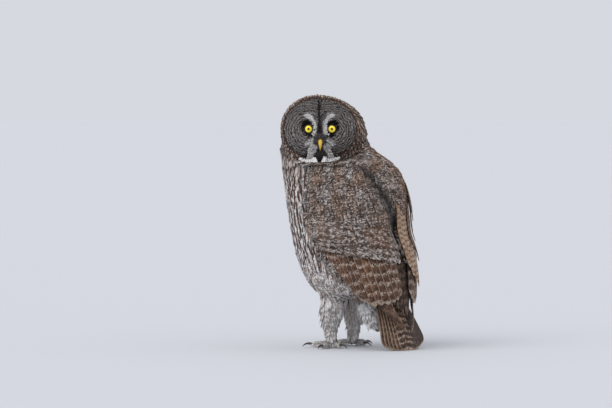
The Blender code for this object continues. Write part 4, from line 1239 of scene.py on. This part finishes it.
# Lines across a wing from its rear: share of the row, degrees round from the back, height.
SECONDARY_ROOTS = [(0.0, 16, 0.270), (1.0, 98, 0.265)]
SECONDARY_TIPS = [(0.0, 9, 0.128), (0.2, 18, 0.108), (0.5, 45, 0.100), (0.75, 60, 0.118),
                  (1.0, 72, 0.160)]
PRIMARY_ROOTS = [(0.0, 93, 0.256), (1.0, 82, 0.268)]
PRIMARY_BENDS = [(0.0, 46, 0.112), (1.0, 39, 0.165)]
PRIMARY_TIPS = [(0.0, 4, 0.039), (1.0, -9, 0.080)]
PRIMARY_ENDS = np.array([1.0, 0.90, 0.82, 0.75, 0.70, 0.65, 0.60])
VANE_THICKNESS = 0.0007
VANE_LAP = 0.0013
VANE_COLUMNS = 7
SECONDARIES, COVERTS = 12, 14


def row_place(row, q, v):
    """Angle and height at a place across (q) and along (v) a row of feathers."""
    places = [along(line, q) for line in row]
    if len(row) == 2:
        weights = (1 - v, v)
    else:
        weights = ((1 - v) ** 2, 2 * v * (1 - v), v * v)
    return [sum(weight * place[i] for weight, place in zip(weights, places)) for i in (0, 1)]


def vanes(name, middle, out, own, look, finish):
    """Stiff feathers as thin closed vanes, from the grid of each one's middle surface.

    own holds each point's places across and along its feather, from 0 to 1.
    """
    n, rows, columns = middle.shape[:3]
    half = out * (VANE_THICKNESS / 2)
    points = np.stack([middle + half, middle - half], 1)
    own = np.stack([np.broadcast_to(part, (n, rows, columns)) for part in own], -1)
    own = np.broadcast_to(own[:, None], (n, 2, rows, columns, 2)).reshape(-1, 2)
    size = rows * columns
    grid = np.arange(size).reshape(rows, columns)
    top = np.stack([grid[:-1, :-1], grid[:-1, 1:], grid[1:, 1:], grid[1:, :-1]], -1).reshape(-1, 4)
    rim = np.concatenate([grid[0, :], grid[1:, -1], grid[-1, -2::-1], grid[-2:0:-1, 0]])
    after = np.roll(rim, -1)
    sides = np.stack([rim, rim + size, after + size, after], -1)
    faces = np.concatenate([top, top[:, ::-1] + size, sides])
    faces = (np.arange(n)[:, None, None] * 2 * size + faces[None]).reshape(-1, 4)
    made = feather_piece(name, points, [faces], own, middle[:, 0].mean(1), look, finish)
    face_outwards(made.data)
    smooth(made)
    return made


def vane_outline(v, root=0.45, round_from=0.86):
    """Half width of a stiff feather along it, rounded at its tip."""
    swell = root + (1 - root) * blend(0.0, 0.4, v)
    end = np.clip((v - round_from) / (1 - round_from), 0, 1)
    return swell * np.sqrt(np.maximum(1 - end**2.2, 0.0)) + 0.03


def off_wing(side, angle, z, lift):
    """Places off a folded wing, and the way outwards there."""
    place = wing_point(side, angle, z, lift)
    return place, unit(wing_point(side, angle, z, lift + 0.001) - place)


def wing_row(name, side, row, ends, reach, overlap, look, finish, seed, rows=20, dip=0.0):
    """A row of stiff feathers on a folded wing.

    row holds the lines of roots and tips, ends the share of the way that each feather reaches,
    reach its lift off the wing at root and tip, and dip how far the row's ends are sunk.
    """
    draw = np.random.default_rng(seed)
    count = len(ends)
    index = np.arange(count)[:, None, None]
    u = np.linspace(-1, 1, VANE_COLUMNS)[None, None, :]
    v = (np.linspace(0, 1, rows) ** 0.8)[None, :, None]
    middle = (index + 0.5 + draw.uniform(-0.06, 0.06, (count, 1, 1))) / count
    q = middle + u * vane_outline(v) * overlap / (2 * count)
    way = v * (ends + draw.uniform(-0.012, 0.012, count))[:, None, None] + 0 * u
    angle, z = row_place(row, q, way)
    lift = reach[0] + (reach[1] - reach[0]) * np.minimum(way, 1)
    lift = lift + VANE_LAP * (q * count - index - 0.5) - 0.0006 * u**2
    lift = lift - dip * np.clip((np.abs(2 * q - 1) - 0.6) / 0.4, 0, 1) ** 2 * (1 - 0.5 * v)
    place, outward = off_wing(side, angle, z, lift)
    return vanes("%s_%s" % (name, "left" if side > 0 else "right"), place, outward,
                 ((u + 1) / 2, v), look(place[:, -3, VANE_COLUMNS // 2], draw), finish)


def vane_finish(name, pale, fringe, spacing, share, bend):
    """Stiff vane: dull, with a slight gloss along the barbs.

    Pale mottled bars cross it at the spacing given, bent at the shaft. One edge and the tip
    are fringed, and the other edge is dark, as if shaded by the next feather. The barbs are
    drawn about as far apart as real ones on a long feather, coarser on a short one.
    """
    made, tree, shader = finish_of(name, 0.75, Specular_IOR_Level=0.25, Sheen_Weight=0.08)
    ground, marking, _, plain, number, u, v, off, object_place = feather_values(tree)
    height = add(tree, "SeparateXYZ", (object_place,)).node.outputs["Z"]
    waver = add(tree, "TexNoise", {"Vector": object_place, "Scale": 130.0, "Detail": 3.0})
    speck = add(tree, "TexNoise", {"Vector": object_place, "Scale": 330.0, "Detail": 2.0})
    phase = add(tree, "Math", (height, 2 * math.pi / spacing), operation="MULTIPLY")
    phase = add(tree, "Math", (number, 3.6, phase), operation="MULTIPLY_ADD")
    phase = add(tree, "Math", (off, bend, phase), operation="MULTIPLY_ADD")
    phase = add(tree, "Math", (waver, 6.0, phase), operation="MULTIPLY_ADD")
    bar = add(tree, "Math", (phase,), operation="SINE")
    bar = add(tree, "Math", (speck, 5.0, bar), operation="MULTIPLY_ADD")
    bar = add(tree, "MapRange", {"Value": bar, "From Min": share + 2.3, "From Max": share + 3.3,
                                 "To Max": 0.85})
    bar = add(tree, "Math", (bar, add(tree, "Math", (1.0, plain), operation="SUBTRACT")),
              operation="MULTIPLY")
    tone = add(tree, "MapRange", {"Value": waver, "From Min": 0.35, "From Max": 0.65})
    base = add(tree, "MixRGB", (tone, ground, marking))
    colour = add(tree, "MixRGB", (bar, base, shade(pale)))
    shadow = add(tree, "MapRange", {"Value": u, "From Min": 0.16, "From Max": 0.05,
                                    "To Max": 0.85})
    colour = add(tree, "MixRGB", (shadow, colour, marking))
    edge = add(tree, "MapRange", {"Value": u, "From Min": 0.92, "From Max": 0.98, "To Max": 0.45})
    tip = add(tree, "MapRange", {"Value": v, "From Min": 0.94, "From Max": 0.98, "To Max": 0.8})
    edge = add(tree, "Math", (edge, tip), operation="MAXIMUM")
    colour = add(tree, "MixRGB", (edge, colour, shade(fringe)))
    shaft = add(tree, "MapRange", {"Value": off, "From Min": 0.030, "From Max": 0.012,
                                   "To Max": 0.7})
    colour = add(tree, "MixRGB", (shaft, colour, marking))
    barb = add(tree, "Math", (v, 420.0), operation="MULTIPLY")
    barb = add(tree, "Math", (off, -120.0, barb), operation="MULTIPLY_ADD")
    barb = add(tree, "Math", (barb,), operation="SINE")
    grain = add(tree, "Math", (barb, 0.05, 0.97), operation="MULTIPLY_ADD")
    colour = add(tree, "MixRGB", (1.0, colour, grain), blend_type="MULTIPLY")
    tree.links.new(colour, shader.inputs["Base Color"])
    bump = add(tree, "Bump", {"Height": barb, "Strength": 0.25, "Distance": 0.0003})
    tree.links.new(bump, shader.inputs["Normal"])
    return made


def two_tones(light, deep, dark):
    """Look of stiff feathers between two browns, with dark markings."""
    def look(place, draw):
        """Look of the feathers at places."""
        n = len(place)
        return dict(ground=mix(shade(light), shade(deep), draw.uniform(0, 1, n)),
                    marking=np.tile(shade(dark), (n, 1)), streak=np.zeros(n), bars=np.zeros(n),
                    number=draw.uniform(0, 1, n))
    return look


secondary_finish = vane_finish("secondary vane", "B3A193", "B8A594", 0.0205, 0.55, 2.5)
primary_finish = vane_finish("primary vane", "8C7464", "A08672", 0.035, 1.0, 2.0)
for side, word in SIDES:
    shift = 0 if side > 0 else -6
    tips = [(q, angle + shift * (1 - q), z) for q, angle, z in SECONDARY_TIPS]
    secondaries = wing_row("secondaries", side, (SECONDARY_ROOTS, tips), np.ones(SECONDARIES),
                           (-0.0125, -0.0060), 1.7,
                           two_tones("75513B", "5A3F30", "35241B"), secondary_finish, 60 + side)
    tips = [(q, angle + (0 if side > 0 else 2), z) for q, angle, z in PRIMARY_TIPS]
    wing_row("primaries", side, (PRIMARY_ROOTS, PRIMARY_BENDS, tips), PRIMARY_ENDS,
             (-0.0165, -0.0105), 1.8, two_tones("7A5E4C", "5F4738", "3E2D24"),
             primary_finish, 70 + side)
    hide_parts("wing_" + word)

# Greater coverts
# Three rows of coverts lie over the roots of the secondaries, softer than they are and
# mottled as the mantle is, the lowest row paler.
COVERT_ROWS = ((0.192, 0.222, -0.0034), (0.206, 0.236, -0.0022), (0.222, 0.248, -0.0010))
COVERT_LENGTH = 0.062
COVERT_PALE = shade("D2CAC4")


def greater_row(side, rear_z, front_z, length):
    """Lines of roots and tips of a row of coverts."""
    q = np.linspace(0, 1, 6)
    z = rear_z + (front_z - rear_z) * q
    root_z = np.minimum(z + length, 0.4)
    lines = []
    for level, inset in ((root_z, 2), (z, 0)):
        low, high = wing_edges(side, level)
        low, high = low + inset, high - 5
        lines.append(list(zip(q, low + (high - low) * q, level)))
    return lines


def covert_look(place, draw):
    """Mottled as the mantle, the lowest row paler."""
    look = body_look(place, draw)
    low = 0.7 * blend(0.225, 0.200, height_of(place))
    look["ground"] = mix(look["ground"], COVERT_PALE, low)
    look["streak"] = look["streak"] * 0.4
    look["bars"] = draw.uniform(0.8, 1.0, len(place))
    look["ground"] = mix(look["ground"], GREY, 0.30) * 0.66
    return look


for side, _ in SIDES:
    for level, (rear_z, front_z, lift) in enumerate(COVERT_ROWS):
        wing_row("coverts_%d" % level, side, greater_row(side, rear_z, front_z, COVERT_LENGTH),
                 np.ones(COVERTS), (-0.0080, lift), 1.6, covert_look, plumage,
                 80 + side + 10 * level, rows=14, dip=0.010)

# Long feathers of the shoulder
# Loose narrow feathers hang off the right shoulder, long buff ones with brown stripes lie
# along the inner edge of the right wing, and inner ones hang between the two wings, dark
# brown and darker still as painted shade of the gap there.
def long_feathers(name, side, rows, finish, look, seed):
    """Long narrow vanes on a wing: angle and height at root and tip, lift and half width."""
    u = np.linspace(-1, 1, VANE_COLUMNS)[None, None, :]
    v = np.linspace(0, 1, 22)[None, :, None]
    table = np.array(rows)[:, :, None, None]
    angle0, z0, angle1, z1, lift0, lift1, half = (table[:, i] for i in range(7))
    z = z0 + (z1 - z0) * v + 0 * u
    middle_angle = angle0 + (angle1 - angle0) * v
    angle = middle_angle + np.degrees(u * half * vane_outline(v, 0.6, 0.7) / 0.13)
    lift = lift0 + (lift1 - lift0) * v - 0.0008 * u**2
    place, outward = off_wing(side, angle, z, lift)
    vanes(name, place, outward, ((u + 1) / 2, v),
          look(place[:, -3, VANE_COLUMNS // 2], np.random.default_rng(seed)), finish)


LOOSE = [(30, 0.372, 25, 0.302, -0.004, 0.003, 0.010), (38, 0.362, 34, 0.285, -0.004, 0.003, 0.010),
         (27, 0.345, 29, 0.262, -0.004, 0.002, 0.010), (34, 0.325, 36, 0.240, -0.004, 0.002, 0.011),
         (20, 0.325, 24, 0.225, -0.005, 0.001, 0.011), (30, 0.295, 31, 0.196, -0.005, 0.001, 0.011)]
loose_finish = vane_finish("loose shoulder feather", "98806C", "7C6250", 0.011, 0.5, 3.0)
long_feathers("shoulder_feathers", -1, LOOSE, loose_finish,
              two_tones("8A674F", "6B4C3A", "3A281F"), 121)
BUFF = [(1, 0.322, 5, 0.185, -0.005, 0.000, 0.008), (6, 0.310, 10, 0.165, -0.005, 0.000, 0.008),
        (12, 0.300, 16, 0.150, -0.005, 0.000, 0.009), (18, 0.285, 22, 0.140, -0.005, 0.000, 0.009)]
buff_finish = vane_finish("buff tertial", "54392A", "D8C6B2", 0.0115, 0.0, 4.0)
long_feathers("buff_feathers", -1, BUFF, buff_finish, two_tones("CDB69F", "B0947A", "8A6A50"),
              131)
# The inner feathers' dark browns are partly their own colour and partly painted shade of the gap
# between the wings.
INNER = [(-18, 0.255, -15, 0.094, -0.024, -0.018, 0.009),
         (-12, 0.258, -9, 0.084, -0.022, -0.016, 0.009), (-6, 0.260, -3, 0.076, -0.020, -0.014, 0.009),
         (0, 0.262, 3, 0.082, -0.022, -0.016, 0.009), (6, 0.260, 9, 0.092, -0.024, -0.018, 0.009)]
inner_finish = vane_finish("inner wing feather", "6E594A", "7A6352", 0.020, 0.1, 3.0)
long_feathers("inner_feathers", 1, INNER, inner_finish, two_tones("45342A", "30241D", "1C1410"),
              141)

# Tail
# Twelve long broad feathers in a closed fan, the middle pair on top, brown with curved
# mottled bars. The root hides under the wings' tips.
TAIL_TWIST = math.radians(8)
TAIL_PAIRS, TAIL_FAN, TAIL_HALF, TAIL_STEP = 6, 2.6, 0.0235, 0.0012
TAIL_START = 0.0021
axis = TAIL_TIP - TAIL_ROOT
tail_reach = np.linalg.norm(axis)
axis_way = axis / tail_reach
level = np.array([1.0, 0.0, 0.0])
tail_across = (level * math.cos(TAIL_TWIST) + np.cross(axis_way, level) * math.sin(TAIL_TWIST)
               + axis_way * (axis_way @ level) * (1 - math.cos(TAIL_TWIST)))
tail_out = unit(np.cross(tail_across, axis))
tail_out = tail_out * np.sign(tail_out[1])
draw = np.random.default_rng(91)
pair = np.repeat(np.arange(TAIL_PAIRS), 2)
side = np.tile([1.0, -1.0], TAIL_PAIRS)
fan = np.radians(side * (1.2 + TAIL_FAN * pair))[:, None, None]
drop = (TAIL_STEP * (2 * pair + (side < 0)))[:, None, None]
size = ((1.0 - 0.012 * pair) * draw.uniform(0.985, 1.0, 12))[:, None, None]
u = np.linspace(-1, 1, 9)[None, None, :]
v = (np.linspace(0, 1, 30) ** 0.85)[None, :, None]
way = v * tail_reach * size
off = u * vane_outline(v, 0.95, 0.86) * TAIL_HALF
start = (side * pair * TAIL_START)[:, None, None]
sideways = start + way * np.sin(fan) + off * np.cos(fan)
down = (way * np.cos(fan) - off * np.sin(fan)) / tail_reach
bow = 0.006 * np.sin(np.pi * np.clip(down, 0, 1)) - drop - 0.0008 * u**2
middle = (TAIL_ROOT + SHIFT + axis * down[..., None] + tail_across * sideways[..., None]
          + tail_out * bow[..., None])
middle[..., 2] = np.maximum(middle[..., 2], 0.0006)
tail_finish = vane_finish("tail vane", "B09C8C", "BFA48B", 0.0125, 0.45, 5.0)
outer = np.clip((pair - 2) / 3, 0, 1)
tail_look = two_tones("7A5A46", "5B4132", "2E2019")(middle[:, -1, 4], draw)
tail_look["ground"] = mix(tail_look["ground"], shade("54402F"), 0.5 * outer)
tail_look["bars"] = 0.85 * np.clip(pair / 3, 0, 1)
tail = vanes("tail_feathers", middle, np.broadcast_to(tail_out, middle.shape),
             ((u + 1) / 2, v), tail_look, tail_finish)
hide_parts("tail")

# The rump's dark brown is partly the coverts' own colour and partly painted shade of the hollow under
# the wings.
RUMP_SHADED_BROWN = shade("5B463A")


def rump_keep(points, out):
    """Roots of the upper tail coverts, over the tail's root between the wings."""
    place = points - SHIFT
    rear = (place[:, 1] > 0.10) & (out[:, 1] > 0.1) & (out[:, 2] < 0.5)
    return (place[:, 2] > BODY_HEM) & (place[:, 2] < 0.22) & rear


def rump_look(points, draw):
    """As the body, but dark brown, partly the coverts' own colour and partly painted shade between the
    wings.
    """
    look = body_look(points, draw)
    look["ground"] = mix(look["ground"], RUMP_SHADED_BROWN, 0.8)
    return look


def down_the_tail(points, out):
    """Lie of the upper tail coverts: down and a little backwards."""
    return np.tile(np.array([0.0, 0.25, -1.0]), (len(points), 1))


cover("rump_coat", even(0.0080), rump_keep, down_the_tail, rump_look, (0.048, 0.020, 0.10),
      "tail_feathers", 141)

# Legs, vent and feet
# Thick pale down covers the legs to the claws, faintly mottled with brown, and the white
# fluff of the vent hangs between them and the tail.
DOWN_GREY, DOWN_PALE, DOWN_WHITE = shade("C9C4C0"), shade("EDEBEA"), shade("F1F0F0")
DOWN_BROWN, DOWN_BUFF = shade("A08C7E"), shade("C4B8AF")


def leg_keep(points, out):
    """Roots of the down of the legs and the vent."""
    z = height_of(points)
    y = points[:, 1] - SHIFT[1]
    return (z < 0.124) & (z > 0.026 + 0.036 * blend(0.05, 0.07, y)) & (y < 0.14)


def foot_keep(points, out):
    """Roots of the down of the feet, off the soles."""
    z = height_of(points)
    return (z <= 0.028) & (z > 0.003) & (out[:, 2] > -0.5)


def fluff_of(points):
    """How far points lie on the vent, behind the legs, from 0 to 1."""
    return blend(0.045, 0.07, points[:, 1] - SHIFT[1])


def leg_look(points, draw):
    """Pale down, whitest on the vent."""
    n = len(points)
    ground = mix(DOWN_GREY, DOWN_PALE, draw.uniform(0, 1, n))
    fluff = fluff_of(points)
    ground = mix(ground, DOWN_WHITE, fluff)
    marking = mix(DOWN_BROWN, DOWN_BUFF, np.maximum(fluff, draw.uniform(0, 1, n)))
    return dict(ground=ground, marking=marking, streak=draw.uniform(0, 0.25, n),
                bars=draw.uniform(0, 0.5, n), number=draw.uniform(0, 1, n))


def leg_sizes(root):
    """Longer and looser down on the thighs, and looser on the vent."""
    upper = blend(0.05, 0.10, height_of(root))
    return 0.020 + 0.012 * upper, 0.0120, 0.32 + 0.12 * np.maximum(upper, fluff_of(root))


def foot_lie(points, out):
    """Lie of the down of the feet: away from the ankle and a little down."""
    side = np.where(points[:, :1] - SHIFT[0] > 0, 1.0, -1.0)
    ankle = side * np.array([[LEG_X, 0, 0]]) + np.array([[0, LEG_Y, 0]]) + SHIFT
    return unit((points - ankle) * np.array([1, 1, 0]) + np.array([0, 0, -0.012]))


cover("leg_down", even(0.0062), leg_keep, down_the_body, leg_look, leg_sizes, "leg_feathers",
      101, curl=0.12)
cover("foot_down", even(0.0032), foot_keep, foot_lie, leg_look, (0.0085, 0.0038, 0.20),
      "leg_feathers", 111, strands=3)

# Claws
# Eight long curved claws of black horn, four to a foot, polished by wear towards the points.
# Each grows out of the down at the end of its toe.

# Black horn: hard keratin with a soft polish, its growth showing as faint brown clouds.
claw_finish, tree, shader = finish_of("black horn", 0.30, Coat_Weight=0.25)
object_place = add(tree, "TexCoord").node.outputs["Object"]
growth = add(tree, "TexNoise", {"Vector": object_place, "Scale": 600.0, "Detail": 3.0})
colour = add(tree, "MixRGB", (growth, shade("17130F"), shade("3A332D")))
tree.links.new(colour, shader.inputs["Base Color"])
# Stations of a claw: share of its length, height and radius.
TALON = [(-0.22, 0.0064, 0.0026), (0.05, 0.0078, 0.0030), (0.35, 0.0088, 0.0026),
         (0.65, 0.0074, 0.0018), (0.88, 0.0040, 0.0010), (1.0, 0.0012, 0.0004)]
for side, word in SIDES:
    ankle = np.array([side * LEG_X, LEG_Y, 0.0]) + SHIFT
    for index, (heading, reach, size) in enumerate(TOES):
        part = np.linspace(TALON[0][0], 1, 26)
        height, radius = along(TALON, part)
        away = (ANKLE_REACH + reach + size * part)[:, None]
        path = ankle + toe_way(side, heading) * away + UP * height[:, None]
        claw = limb("claw_%s_%d" % (word, index + 1), path, radius, 20)
        claw.data.materials.append(claw_finish)
        smooth(claw)
        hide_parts("talon_%s_%d" % (word, index + 1))
        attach(claw, "root")
